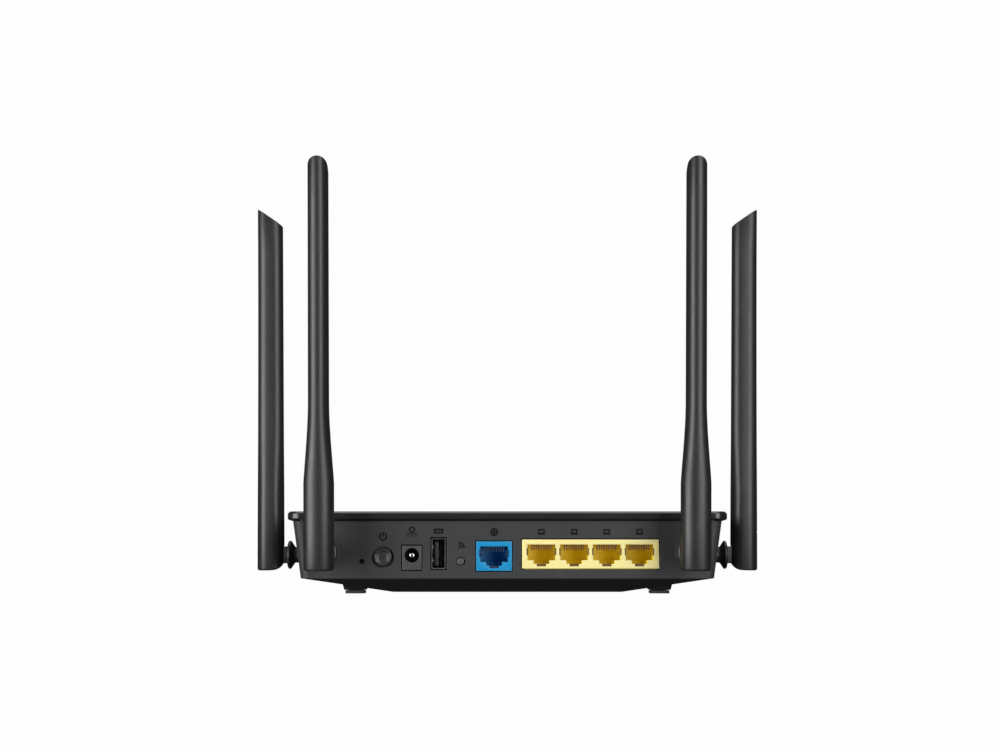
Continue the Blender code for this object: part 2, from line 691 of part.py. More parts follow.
def lid_cuts():
    """Screw holes, vents and the windows of the indicator lights."""
    bm = bmesh.new()
    for x, y in screw_places().values():
        low = CASE_POST_TOP_Z - CUT_OVERRUN
        top = SCREW_SEAT_Z + SCREW_LENGTH + 2.0 * GAP
        add_cylinder(bm, (x, y, low), (0, 0, 1), top - low, SCREW_SHAFT_R + GAP,
                     steps=SMALL_ROUND_STEPS)
    low_z = LID_BOTTOM_Z - CUT_OVERRUN
    height = (0.0, 0.0, LID_THICKNESS + 2.0 * CUT_OVERRUN)
    for x in mirrored(vent_xs(LID_VENT_X, LID_VENT_PITCH, LID_VENT_COUNT)):
        vent = slot_outline((x, LID_VENT_Y), *LID_VENT_SIZE)
        extrude_outline(bm, at_height(vent, low_z), (0, 0, 0), height)
    for x in vent_xs(0.0, LIGHT_PITCH, LIGHT_COUNT):
        half_x, half_y = LIGHT_SIZE[0] / 2.0 + GAP, LIGHT_SIZE[1] / 2.0 + GAP
        add_box(bm, (x - half_x, LIGHT_Y - half_y, low_z),
                (x + half_x, LIGHT_Y + half_y, LID_TOP_Z + CUT_OVERRUN))
    return make_cutter("lid_cuts_shape", bm)


def build_top_cover(material):
    """Lid plate with a bevelled edge, an inner lip and four screw posts."""
    def lid_outline(inset):
        return plan_outline(inset - LID_SIDE_OVERHANG, inset - LID_OVERHANG, inset - LID_OVERHANG)

    bm = bmesh.new()
    skin(bm, [
        at_height(lid_outline(LID_BOTTOM_BEVEL), LID_BOTTOM_Z),
        at_height(lid_outline(0.0), LID_BOTTOM_Z + LID_BOTTOM_BEVEL),
        at_height(lid_outline(0.0), LID_TOP_Z - LID_TOP_BEVEL),
        at_height(lid_outline(LID_TOP_BEVEL), LID_TOP_Z),
    ])
    cover = finish("top_cover", bm, material)
    combine(cover, lid_inner_shapes(), "UNION")
    combine(cover, lid_cuts(), "DIFFERENCE")


def build_light_pipe(material):
    """A clear bar under the lid with one prong for each indicator light."""
    bm = bmesh.new()
    half_x, half_y = LIGHT_BAR_SIZE[0] / 2.0, LIGHT_BAR_SIZE[1] / 2.0
    top = LID_BOTTOM_Z - GAP
    add_box(bm, (-half_x, LIGHT_Y - half_y, top - LIGHT_BAR_SIZE[2]),
            (half_x, LIGHT_Y + half_y, top))
    pipe = finish("light_pipe", bm, material)
    prongs = bmesh.new()
    for x in vent_xs(0.0, LIGHT_PITCH, LIGHT_COUNT):
        prong_x, prong_y = LIGHT_SIZE[0] / 2.0, LIGHT_SIZE[1] / 2.0
        add_box(prongs, (x - prong_x, LIGHT_Y - prong_y, top - LIGHT_BAR_SIZE[2] / 2.0),
                (x + prong_x, LIGHT_Y + prong_y, LID_TOP_Z))
    combine(pipe, make_cutter("light_prongs_shape", prongs), "UNION")


# ---------------------------------------------------------------- feet and screws

def build_feet(material):
    """Four rubber pads, each with a stem pressed up into the case."""
    for name, (x, y) in foot_places().items():
        half_x, half_y = FOOT_PAD_SIZE[0] / 2.0, FOOT_PAD_SIZE[1] / 2.0
        radius = FOOT_PAD_CORNER_R
        pad = rounded([(half_x, -half_y, radius), (half_x, half_y, radius),
                       (-half_x, half_y, radius), (-half_x, -half_y, radius)])
        sole = [(px * FOOT_SOLE_SHARE, py * FOOT_SOLE_SHARE) for px, py in pad]
        stem = bmesh.new()
        add_cylinder(stem, (x, y, FOOT_PAD_HEIGHT / 2.0), (0, 0, 1),
                     FOOT_PAD_HEIGHT / 2.0 + FOOT_STEM_LENGTH, FOOT_STEM_R, steps=SMALL_ROUND_STEPS)
        bm = bmesh.new()
        skin(bm, [at_height(sole, 0.0), at_height(pad, FOOT_SOLE_BEVEL),
                  at_height(pad, FOOT_PAD_HEIGHT)])
        foot = finish(f"foot_{name}", bm, material)
        foot.location = (x, y, 0.0)
        combine(foot, make_cutter(f"foot_stem_{name}_shape", stem), "UNION")


def build_case_screws(material):
    """Four screws that hold the lid's posts down onto the case's posts."""
    tip_z, seat_z = SCREW_SEAT_Z + SCREW_LENGTH - GAP, SCREW_SEAT_Z - GAP
    profile = [(0.0, tip_z), (SCREW_SHAFT_R, tip_z), (SCREW_SHAFT_R, seat_z), (SCREW_HEAD_R, seat_z),
               (SCREW_HEAD_R, seat_z - SCREW_HEAD_HEIGHT), (0.0, seat_z - SCREW_HEAD_HEIGHT)]
    bm = turned(profile, "Z", SMALL_ROUND_STEPS)
    shared = None
    for name, (x, y) in screw_places().items():
        if shared is None:
            screw = finish(f"case_screw_{name}", bm, material, round_shape=True)
            shared = screw.data
        else:
            screw = link_mesh(f"case_screw_{name}", shared)
        screw.location = (x, y, 0.0)


# ---------------------------------------------------------------- antennas

def collar_mesh():
    """The turned barrel and cone of a collar, along +X away from the wall."""
    rim_inset, rim_depth = FLANGE_RIM_BEVEL
    profile = [
        (0.0, CABLE_BORE_END),
        (CABLE_BORE_R, CABLE_BORE_END),
        (CABLE_BORE_R, -BARREL_INNER_LENGTH),
        (BARREL_R - BARREL_NOSE_BEVEL, -BARREL_INNER_LENGTH),
        (BARB_R, -BARREL_INNER_LENGTH + BARB_RAMP),
        (BARB_R, -BARB_SEAT),
        (BARREL_R, -BARB_SEAT),
        (BARREL_R, WAIST_START - WAIST_RAMP),
        (WAIST_R, WAIST_START),
        (WAIST_R, FLANGE_START),
        (FLANGE_R, FLANGE_FACE - FLANGE_RIM_DEPTH),
        (FLANGE_R, FLANGE_FACE - rim_depth),
        (FLANGE_R - rim_inset, FLANGE_FACE),
        (0.0, FLANGE_FACE),
    ]
    return turned(profile, "X", ROUND_STEPS)


def tongue_shape(name, parent):
    """The flat tongue with a round end that the whip tilts on."""
    start = FLANGE_FACE - JOIN_DEPTH
    outline = [(start, -TONGUE_HALF_HEIGHT)]
    outline += arc((PIN_REACH, 0.0), TONGUE_HALF_HEIGHT, -90, 90, 8)
    outline += [(start, TONGUE_HALF_HEIGHT)]
    bm = bmesh.new()
    half = TONGUE_THICKNESS / 2.0
    extrude_outline(bm, [(x, -half, z) for x, z in outline], (0, 0, 0),
                    (0, TONGUE_THICKNESS, 0))
    return make_cutter(name, bm, parent)


def build_collar(name, material, swivel):
    """One collar: barrel, snap ring, cone flange, tongue and pin hole."""
    collar = finish(f"collar_{name}", collar_mesh(), material, swivel, round_shape=True)
    combine(collar, tongue_shape(f"tongue_{name}_shape", swivel), "UNION")
    bore = bmesh.new()
    half = TONGUE_THICKNESS / 2.0 + CUT_OVERRUN
    add_cylinder(bore, (PIN_REACH, -half, 0.0), (0, 1, 0), 2.0 * half, PIN_R + GAP,
                 steps=SMALL_ROUND_STEPS)
    combine(collar, make_cutter(f"collar_bore_{name}_shape", bore, swivel), "DIFFERENCE")


def whip_half_width(z):
    """Half of the whip's width: wide round the hinge, then a soft flare into the slim part."""
    share = (z - WHIP_FLARE_START) / WHIP_FLARE_LENGTH
    share = min(max(share, 0.0), 1.0)
    eased = 1.0 - (1.0 - share) ** 2.2
    blend = share * share * (3.0 - 2.0 * share) * 0.5 + eased * 0.5
    return WHIP_WIDE_HALF + (WHIP_SLIM_HALF - WHIP_WIDE_HALF) * blend


def whip_loop(z, shrink=0.0):
    """The whip's rounded section at a height above the pin, spread to its width there."""
    along = (z + WHIP_BELOW_PIN) / (WHIP_ABOVE_PIN + WHIP_BELOW_PIN)
    inner = WHIP_INNER_X + WHIP_INNER_LEAN * along + shrink
    outer = WHIP_INNER_X + WHIP_DEPTH + WHIP_TIP_KICK * max(along, 0.0) ** 4 - shrink
    half = WHIP_SLIM_HALF
    outline = rounded([(outer, -half, WHIP_CORNER_R), (outer, half, WHIP_CORNER_R),
                       (inner, half, WHIP_CORNER_R), (inner, -half, WHIP_CORNER_R)])
    spread = (whip_half_width(z) - shrink) / half
    return [(x, y * spread, z) for x, y in outline]


def whip_body_mesh():
    """The whip's outer skin, cut by the slanted plane of its tip."""
    bottom = -WHIP_BELOW_PIN
    loops = [whip_loop(bottom, WHIP_FOOT_BEVEL), whip_loop(bottom + WHIP_FOOT_BEVEL)]
    loops += [whip_loop(WHIP_FLARE_START + WHIP_FLARE_LENGTH * share) for share in WHIP_FLARE_SHARES]
    loops += [whip_loop(WHIP_ABOVE_PIN * share) for share in WHIP_UPPER_SHARES]
    loops.append(whip_loop(WHIP_ABOVE_PIN + WHIP_TIP_SPARE))
    bm = bmesh.new()
    skin(bm, loops)
    tip = Vector((WHIP_INNER_X + WHIP_DEPTH + WHIP_TIP_KICK, 0.0, WHIP_ABOVE_PIN))
    normal = Vector((-math.sin(WHIP_TIP_SLANT), 0.0, math.cos(WHIP_TIP_SLANT)))
    everything = bm.verts[:] + bm.edges[:] + bm.faces[:]
    cut = bmesh.ops.bisect_plane(bm, geom=everything, plane_co=tip, plane_no=normal,
                                 clear_outer=True)
    rim = [edge for edge in cut["geom_cut"] if isinstance(edge, bmesh.types.BMEdge)]
    bmesh.ops.edgenet_fill(bm, edges=rim)
    return bm


def whip_hinge_cut():
    """Room for the tongue through a quarter turn, and a round heel at the lower inner corner."""
    reach = WHIP_HEEL_R + HINGE_CUT_SPARE
    radius = TONGUE_HALF_HEIGHT + GAP
    half = TONGUE_THICKNESS / 2.0 + GAP
    slot = [(-reach, radius)] + arc((0.0, 0.0), radius, 90, 0, 5)
    slot += [(radius, -reach), (-reach, -reach)]
    bm = bmesh.new()
    extrude_outline(bm, [(x, -half, z) for x, z in slot], (0, 0, 0), (0, 2.0 * half, 0))
    return bm


def whip_heel_cut():
    """Everything outside the heel's radius, in the quarter that faces the wall."""
    reach = WHIP_HEEL_R + HINGE_CUT_SPARE
    wide = WHIP_WIDE_HALF + CUT_OVERRUN
    heel = arc((0.0, 0.0), WHIP_HEEL_R, 180, 270, 6)
    heel += [(0.0, -reach), (-reach, -reach), (-reach, 0.0)]
    bm = bmesh.new()
    extrude_outline(bm, [(x, -wide, z) for x, z in heel], (0, 0, 0), (0, 2.0 * wide, 0))
    return bm


def cavity_centre():
    """Middle of the whip's depth, in the whip's own frame."""
    return WHIP_INNER_X + WHIP_DEPTH / 2.0 + WHIP_INNER_LEAN / 4.0


def whip_cavity_cut():
    """The hollow that holds the antenna strip, open to the hinge slot."""
    neck = WHIP_NECK_HALF_WIDTH
    outline = [(-neck, TONGUE_HALF_HEIGHT / 2.0), (neck, TONGUE_HALF_HEIGHT / 2.0),
               (neck, WHIP_CAVITY_BOTTOM), (WHIP_CAVITY_HALF_WIDTH, WHIP_CAVITY_BOTTOM),
               (WHIP_CAVITY_HALF_WIDTH, WHIP_CAVITY_TOP), (-WHIP_CAVITY_HALF_WIDTH, WHIP_CAVITY_TOP),
               (-WHIP_CAVITY_HALF_WIDTH, WHIP_CAVITY_BOTTOM), (-neck, WHIP_CAVITY_BOTTOM)]
    start = cavity_centre() - WHIP_CAVITY_HALF_DEPTH
    bm = bmesh.new()
    extrude_outline(bm, [(start, y, z) for y, z in outline], (0, 0, 0),
                    (2.0 * WHIP_CAVITY_HALF_DEPTH, 0, 0))
    return bm


def build_whip(name, material, tilt):
    """One whip: a long hollow shell with a forked lower end."""
    whip = finish(f"whip_{name}", whip_body_mesh(), material, tilt, round_shape=True)
    pin_bore = bmesh.new()
    half = PIN_HALF_LENGTH + GAP
    add_cylinder(pin_bore, (0.0, -half, 0.0), (0, 1, 0), 2.0 * half, PIN_R + GAP,
                 steps=SMALL_ROUND_STEPS)
    cuts = {"hinge_slot": whip_hinge_cut(), "heel": whip_heel_cut(), "cavity": whip_cavity_cut(),
            "pin_bore": pin_bore}
    for kind, bm in cuts.items():
        combine(whip, make_cutter(f"{kind}_{name}_shape", bm, tilt), "DIFFERENCE")


def build_whip_inside(name, materials, tilt):
    """The steel hinge pin and the antenna strip."""
    pin = bmesh.new()
    add_cylinder(pin, (0.0, -PIN_HALF_LENGTH, 0.0), (0, 1, 0), 2.0 * PIN_HALF_LENGTH, PIN_R,
                 steps=SMALL_ROUND_STEPS)
    finish(f"hinge_pin_{name}", pin, materials["steel"], tilt, round_shape=True)
    strip = bmesh.new()
    centre = cavity_centre()
    half = WHIP_CAVITY_HALF_WIDTH - GAP
    add_box(strip, (centre - STRIP_THICKNESS / 2.0, -half, WHIP_CAVITY_BOTTOM + GAP),
            (centre + STRIP_THICKNESS / 2.0, half, WHIP_CAVITY_TOP - GAP))
    finish(f"antenna_strip_{name}", strip, materials["board"], tilt)


def smooth_route(points, spacing):
    """Points read at an even spacing from a smooth curve through a short list of points."""
    ends = [points[0] + (points[0] - points[1])] + points + [points[-1] + (points[-1] - points[-2])]
    dense = []
    for index in range(1, len(ends) - 2):
        before, here, there, after = ends[index - 1:index + 3]
        for step in range(20):
            t = step / 20.0
            dense.append(0.5 * ((2.0 * here) + (there - before) * t
                                + (2.0 * before - 5.0 * here + 4.0 * there - after) * t * t
                                + (3.0 * here - before - 3.0 * there + after) * t ** 3))
    dense.append(points[-1])
    route = [dense[0]]
    travelled = 0.0
    for before, here in zip(dense, dense[1:]):
        travelled += (here - before).length
        if travelled >= spacing:
            route.append(here)
            travelled = 0.0
    if (route[-1] - dense[-1]).length > spacing / 2.0:
        route.append(dense[-1])
    return route


def cable_routes():
    """Hand-chosen routes of the four coaxial cables, from each collar to its shield can."""
    places = antenna_places()
    routes = {}
    for side, sign in (("left", -1.0), ("right", 1.0)):
        rear = Vector(places[f"rear_{side}"][0])
        routes[f"rear_{side}"] = [
            rear + Vector((0.0, 0.0040, 0.0)), rear + Vector((0.0, 0.0090, -0.0002)),
            rear + Vector((-sign * 0.0030, 0.0150, -0.0030)),
            Vector((rear.x - sign * 0.0060, rear.y + 0.0250, CABLE_Z + 0.0004)),
            Vector((rear.x - sign * 0.0100, rear.y + 0.0420, CABLE_Z)),
            Vector((sign * (CABLE_END_X + 0.0013), 0.0060, CABLE_Z)),
            Vector((sign * CABLE_END_X, 0.0120, CABLE_Z)),
        ]
        wall = Vector(places[f"side_{side}"][0])
        routes[f"side_{side}"] = [
            wall + Vector((-sign * 0.0040, 0.0, 0.0)), wall + Vector((-sign * 0.0095, 0.0, -0.0003)),
            wall + Vector((-sign * 0.0160, 0.0020, -0.0040)),
            Vector((wall.x - sign * 0.0240, wall.y + 0.0060, CABLE_Z + 0.0003)),
            Vector((sign * (CABLE_END_X + 0.0078), wall.y + 0.0095, CABLE_Z)),
            Vector((sign * CABLE_END_X, wall.y + 0.0110, CABLE_Z)),
        ]
    return routes


def build_cable(name, points, material):
    """One thin cable as a tube along its route."""
    curve = bpy.data.curves.new(f"antenna_cable_{name}", "CURVE")
    curve.dimensions = "3D"
    curve.bevel_depth = CABLE_R
    curve.bevel_resolution = 2
    curve.use_fill_caps = True
    route = smooth_route(points, CABLE_STEP)
    spline = curve.splines.new("POLY")
    spline.points.add(len(route) - 1)
    for target, point in zip(spline.points, route):
        target.co = (*point, 1.0)
    cable = bpy.data.objects.new(f"antenna_cable_{name}", curve)
    cable.data.materials.append(material)
    bpy.context.collection.objects.link(cable)


def build_antennas(materials):
    """Collar, whip, pin, strip and cable of each antenna, on their two joint axes."""
    for name, (place, degrees, roll, lean) in antenna_places().items():
        swivel = empty_at(f"swivel_axis_{name}", place, (roll, 0.0, math.radians(degrees)))
        tilt = empty_at(f"tilt_axis_{name}", (PIN_REACH, 0.0, 0.0), (0.0, lean, 0.0), swivel)
        build_collar(name, materials["black"], swivel)
        build_whip(name, materials["black"], tilt)
        build_whip_inside(name, materials, tilt)
    for name, points in cable_routes().items():
        build_cable(name, points, materials["cable"])


# ---------------------------------------------------------------- sockets

def port_outline():
    """Front view of a network socket's opening, as half widths down from its top edge."""
    half = PORT_HALF_WIDTH
    wide = half + PORT_SIDE_SLOT
    right = [(half, 0.0), (half, -PORT_SIDE_SLOT_TOP), (wide, -PORT_SIDE_SLOT_TOP),
             (wide, -PORT_SIDE_SLOT_BOTTOM), (half, -PORT_SIDE_SLOT_BOTTOM), (half, -PORT_HEIGHT)]
    depth = -PORT_HEIGHT
    for half_step, drop in LATCH_STEPS:
        right += [(half_step, depth), (half_step, depth - drop)]
        depth -= drop
    return right + [(-x, z) for x, z in reversed(right)]


def port_xs():
    """X of the four local network ports."""
    return vent_xs(LAN_CENTRE_X, LAN_PITCH, LAN_PORTS)


def build_jack(name, centre_x, bottom_z, size, ports, material):
    """A socket block with one opening for each port and a foot down to the board."""
    top_z = bottom_z + size[2]
    rear_y = PANEL_FACE_Y + size[1]
    bm = bmesh.new()
    add_box(bm, (centre_x - size[0] / 2.0, PANEL_FACE_Y, bottom_z),
            (centre_x + size[0] / 2.0, rear_y, top_z))
    block = finish(name, bm, material)
    board_z = BOARD_TOP_Z + GAP
    if bottom_z - board_z > GAP:
        base = bmesh.new()
        inset = JACK_BASE_INSET
        add_box(base, (centre_x - size[0] / 2.0 + inset, BOARD_REAR_Y + inset, board_z),
                (centre_x + size[0] / 2.0 - inset, rear_y - inset, bottom_z + inset))
        combine(block, make_cutter(f"{name}_base_shape", base), "UNION")
    openings = bmesh.new()
    for x in ports:
        start = (x, PANEL_FACE_Y - CUT_OVERRUN, top_z - PORT_TOP_MARGIN)
        extrude_outline(openings, [(px, 0.0, pz) for px, pz in port_outline()], start,
                        (0, CUT_OVERRUN + PORT_DEPTH, 0))
    combine(block, make_cutter(f"{name}_openings_shape", openings), "DIFFERENCE")


def contact_comb_mesh():
    """Eight contact wires that share one strip, lying flat along +Y."""
    half_strip = (CONTACT_COUNT - 1) / 2.0 * CONTACT_PITCH + CONTACT_WIDTH
    strip = CONTACT_STRIP_WIDTH
    outline = [(-half_strip, 0.0), (half_strip, 0.0), (half_strip, strip)]
    for x in reversed(vent_xs(0.0, CONTACT_PITCH, CONTACT_COUNT)):
        half = CONTACT_WIDTH / 2.0
        outline += [(x + half, strip), (x + half, CONTACT_LENGTH)]
        outline += [(x - half, CONTACT_LENGTH), (x - half, strip)]
    outline += [(-half_strip, strip)]
    bm = bmesh.new()
    extrude_outline(bm, at_height(outline, -CONTACT_THICKNESS), (0, 0, 0), (0, 0, CONTACT_THICKNESS))
    return bm


def build_contacts(material):
    """The contact combs, sloping down into each network port from its upper edge."""
    places = {f"lan_contacts_{index + 1}": (x, LAN_BOTTOM_Z + LAN_SIZE[2])
              for index, x in enumerate(port_xs())}
    places["wan_contacts"] = (WAN_CENTRE_X, WAN_BOTTOM_Z + WAN_SIZE[2])
    shared = None
    for name, (x, top_z) in places.items():
        if shared is None:
            comb = finish(name, contact_comb_mesh(), material)
            shared = comb.data
        else:
            comb = link_mesh(name, shared)
        comb.location = (x, PANEL_FACE_Y + CONTACT_SETBACK, top_z - PORT_TOP_MARGIN - GAP)
        comb.rotation_euler = (CONTACT_SLOPE, 0.0, 0.0)


def build_usb(shell_material, tongue_material):
    """Upright USB socket: a folded metal shell and a tongue on a base."""
    half_x = USB_SIZE[0] / 2.0
    low_z, high_z = USB_BOTTOM_Z, USB_BOTTOM_Z + USB_SIZE[2]
    rear_y = PANEL_FACE_Y + USB_SIZE[1]
    wall = USB_SHELL_WALL
    bm = bmesh.new()
    add_box(bm, (USB_CENTRE_X - half_x, PANEL_FACE_Y, low_z),
            (USB_CENTRE_X + half_x, rear_y, high_z))
    shell = finish("usb_shell", bm, shell_material)
    inside = bmesh.new()
    add_box(inside, (USB_CENTRE_X - half_x + wall, PANEL_FACE_Y - CUT_OVERRUN, low_z + wall),
            (USB_CENTRE_X + half_x - wall, rear_y - wall, high_z - wall))
    combine(shell, make_cutter("usb_inside_shape", inside), "DIFFERENCE")
    space = wall + GAP
    base = bmesh.new()
    add_box(base, (USB_CENTRE_X - half_x + space, rear_y - space - USB_BASE_DEPTH, low_z + space),
            (USB_CENTRE_X + half_x - space, rear_y - space, high_z - space))
    tongue = finish("usb_tongue", base, tongue_material)
    middle_z = (low_z + high_z) / 2.0
    tongue_x = USB_CENTRE_X + USB_TONGUE_OFFSET
    blade = bmesh.new()
    front_y = rear_y - space - USB_BASE_DEPTH - USB_TONGUE_SIZE[1]
    add_box(blade, (tongue_x - USB_TONGUE_SIZE[0] / 2.0, front_y, middle_z - USB_TONGUE_SIZE[2] / 2.0),
            (tongue_x + USB_TONGUE_SIZE[0] / 2.0, rear_y - space - USB_BASE_DEPTH / 2.0,
             middle_z + USB_TONGUE_SIZE[2] / 2.0))
    combine(tongue, make_cutter("usb_blade_shape", blade), "UNION")


def build_dc_jack(body_material, pin_material):
    """Round power inlet in a block, with a centre pin through its back wall."""
    half_x = DC_SIZE[0] / 2.0
    bm = bmesh.new()
    add_box(bm, (DC_CENTRE_X - half_x, PANEL_FACE_Y, DC_BOTTOM_Z),
            (DC_CENTRE_X + half_x, PANEL_FACE_Y + DC_SIZE[1], DC_BOTTOM_Z + DC_SIZE[2]))
    body = finish("dc_jack_body", bm, body_material)
    hole = bmesh.new()
    add_cylinder(hole, (DC_CENTRE_X, PANEL_FACE_Y - CUT_OVERRUN, DC_HOLE_Z), (0, 1, 0),
                 CUT_OVERRUN + DC_HOLE_DEPTH, DC_HOLE_R)
    combine(body, make_cutter("dc_hole_shape", hole), "DIFFERENCE")
    pin_hole = bmesh.new()
    add_cylinder(pin_hole, (DC_CENTRE_X, PANEL_FACE_Y, DC_HOLE_Z), (0, 1, 0), DC_SIZE[1] + CUT_OVERRUN,
                 DC_PIN_R + GAP, steps=SMALL_ROUND_STEPS)
    combine(body, make_cutter("dc_pin_hole_shape", pin_hole), "DIFFERENCE")
    tail = DC_SIZE[1] + GAP
    end = tail + DC_PIN_HEAD_THICKNESS
    profile = [(0.0, DC_PIN_SETBACK), (DC_PIN_R * DC_PIN_NOSE_SHARE, DC_PIN_SETBACK),
               (DC_PIN_R, DC_PIN_SETBACK + DC_PIN_NOSE), (DC_PIN_R, tail),
               (DC_PIN_HEAD_R, tail), (DC_PIN_HEAD_R, end), (0.0, end)]
    pin = finish("dc_jack_pin", turned(profile, "Z", ROUND_STEPS), pin_material, round_shape=True)
    pin.location = (DC_CENTRE_X, PANEL_FACE_Y, DC_HOLE_Z)
    pin.rotation_euler = (-math.pi / 2.0, 0.0, 0.0)


# ---------------------------------------------------------------- buttons and their switches

def build_button(name, at, cap_r, proud, travel, hole_r, material):
    """A cap with a flange behind the panel; returns the stem's radius and where its switch starts."""
    stem_r = cap_r * BUTTON_STEM_SHARE
    flange_r = hole_r + BUTTON_FLANGE_WIDTH
    flange_y = WALL + GAP
    stem_start = flange_y + BUTTON_FLANGE_THICKNESS
    switch_front = stem_start + travel + GAP
    stem_end = switch_front + SWITCH_SOCKET_DEPTH / 2.0
    bevel = BUTTON_EDGE_BEVEL
    profile = [(0.0, -proud), (cap_r - bevel, -proud), (cap_r, -proud + bevel), (cap_r, flange_y),
               (flange_r, flange_y), (flange_r, stem_start), (stem_r, stem_start),
               (stem_r, stem_end), (0.0, stem_end)]
    steps = ROUND_STEPS if cap_r == POWER_CAP_R else SMALL_ROUND_STEPS
    button = finish(name, turned(profile, "Z", steps), material, round_shape=True)
    button.location = (at[0], CASE_REAR_Y, at[1])
    button.rotation_euler = (-math.pi / 2.0, 0.0, 0.0)
    return stem_r, switch_front


def build_switch(name, at, front, stem_r, size, material):
    """A switch body on the board with a round socket that the button's stem pushes into."""
    low_z = BOARD_TOP_Z + GAP
    start_y = CASE_REAR_Y + front
    bm = bmesh.new()
    add_box(bm, (at[0] - size[0] / 2.0, start_y, low_z),
            (at[0] + size[0] / 2.0, start_y + size[1], at[1] + size[2]))
    body = finish(name, bm, material)
    socket = bmesh.new()
    depth = CUT_OVERRUN + SWITCH_SOCKET_DEPTH * SWITCH_SOCKET_SHARE
    add_cylinder(socket, (at[0], start_y - CUT_OVERRUN, at[1]), (0, 1, 0), depth, stem_r + GAP,
                 steps=SMALL_ROUND_STEPS)
    combine(body, make_cutter(f"{name}_socket_shape", socket), "DIFFERENCE")


def build_buttons(materials):
    """Power, pairing and reset buttons with their switches."""
    black, grey, dark = materials["black"], materials["grey"], materials["dark_plastic"]
    stem_r, front = build_button("power_button", POWER_AT, POWER_CAP_R, POWER_PROUD, POWER_TRAVEL,
                                 POWER_CAP_R, black)
    build_switch("power_switch_body", POWER_AT, front, stem_r, POWER_SWITCH_SIZE, dark)
    stem_r, front = build_button("pairing_button", PAIR_AT, PAIR_CAP_R, PAIR_PROUD, PAIR_TRAVEL,
                                 PAIR_CAP_R, grey)
    build_switch("pairing_switch_body", PAIR_AT, front, stem_r, SMALL_SWITCH_SIZE, dark)
    stem_r, front = build_button("reset_plunger", RESET_AT, RESET_CAP_R, RESET_PROUD, RESET_TRAVEL,
                                 RESET_HOLE_R, black)
    build_switch("reset_switch_body", RESET_AT, front, stem_r, SMALL_SWITCH_SIZE, dark)


# ---------------------------------------------------------------- board and components

def build_board(material):
    """The main circuit board with cut corners."""
    cut = BOARD_CORNER_CUT
    right = [(BOARD_HALF_WIDTH - cut, BOARD_REAR_Y), (BOARD_HALF_WIDTH, BOARD_REAR_Y + cut),
             (BOARD_HALF_WIDTH, BOARD_FRONT_Y - cut), (BOARD_HALF_WIDTH - cut, BOARD_FRONT_Y)]
    outline = right + [(-x, y) for x, y in reversed(right)]
    bm = bmesh.new()
    extrude_outline(bm, at_height(outline, BOARD_BOTTOM_Z), (0, 0, 0), (0, 0, BOARD_THICKNESS))
    finish("main_board", bm, material)


def build_chip(name, placement, material):
    """A flat component on the board."""
    (x, y), (width, depth, height) = placement
    low_z = BOARD_TOP_Z + GAP
    bm = bmesh.new()
    add_box(bm, (x - width / 2.0, y - depth / 2.0, low_z),
            (x + width / 2.0, y + depth / 2.0, low_z + height))
    return finish(name, bm, material)


def build_shield(name, placement, material):
    """A shield can: a thin metal box, open towards the board."""
    can = build_chip(name, placement, material)
    (x, y), (width, depth, height) = placement
    low_z = BOARD_TOP_Z + GAP
    half_x, half_y = width / 2.0 - SHIELD_WALL, depth / 2.0 - SHIELD_WALL
    inside = bmesh.new()
    add_box(inside, (x - half_x, y - half_y, low_z - CUT_OVERRUN),
            (x + half_x, y + half_y, low_z + height - SHIELD_WALL))
    combine(can, make_cutter(f"{name}_inside_shape", inside), "DIFFERENCE")


def build_heat_sink(material):
    """A finned plate that rests on the main chip."""
    (x, y), (_, _, chip_height) = MAIN_CHIP
    width, depth, base = HEAT_SINK_SIZE
    low_z = BOARD_TOP_Z + GAP + chip_height + GAP
    fin_top = low_z + base + HEAT_SINK_FIN_HEIGHT
    spacing = (width - HEAT_SINK_FIN_THICKNESS) / (HEAT_SINK_FINS - 1)
    outline = [(x - width / 2.0, low_z), (x + width / 2.0, low_z)]
    for index in reversed(range(HEAT_SINK_FINS)):
        left = x - width / 2.0 + index * spacing
        right = left + HEAT_SINK_FIN_THICKNESS
        outline += [(right, low_z + base), (right, fin_top), (left, fin_top), (left, low_z + base)]
    outline = [outline[0], outline[1]] + outline[3:-1]
    bm = bmesh.new()
    extrude_outline(bm, [(px, y - depth / 2.0, pz) for px, pz in outline], (0, 0, 0), (0, depth, 0))
    finish("heat_sink", bm, material)


def build_capacitor(material):
    """The input capacitor, a can standing on the board."""
    low_z = BOARD_TOP_Z + GAP
    top_z = low_z + CAPACITOR_HEIGHT
    profile = [(0.0, top_z), (CAPACITOR_R - CAPACITOR_BEVEL, top_z),
               (CAPACITOR_R, top_z - CAPACITOR_BEVEL), (CAPACITOR_R, low_z), (0.0, low_z)]
    can = finish("input_capacitor", turned(profile, "Z", ROUND_STEPS), material, round_shape=True)
    can.location = (*CAPACITOR_AT, 0.0)


def build_electronics(materials):
    """Board, chips, shields, magnetics, heat sink and capacitor."""
    build_board(materials["board"])
    build_chip("main_chip", MAIN_CHIP, materials["dark_plastic"])
    build_chip("switch_chip", SWITCH_CHIP, materials["dark_plastic"])
    build_chip("memory_chip", MEMORY_CHIP, materials["dark_plastic"])
    build_chip("lan_magnetics", LAN_MAGNETICS, materials["dark_plastic"])
    build_chip("wan_magnetics", WAN_MAGNETICS, materials["dark_plastic"])
    build_shield("shield_can_left", SHIELD_LEFT, materials["tin"])
    build_shield("shield_can_right", SHIELD_RIGHT, materials["tin"])
    build_heat_sink(materials["aluminium"])
    build_capacitor(materials["dark_plastic"])


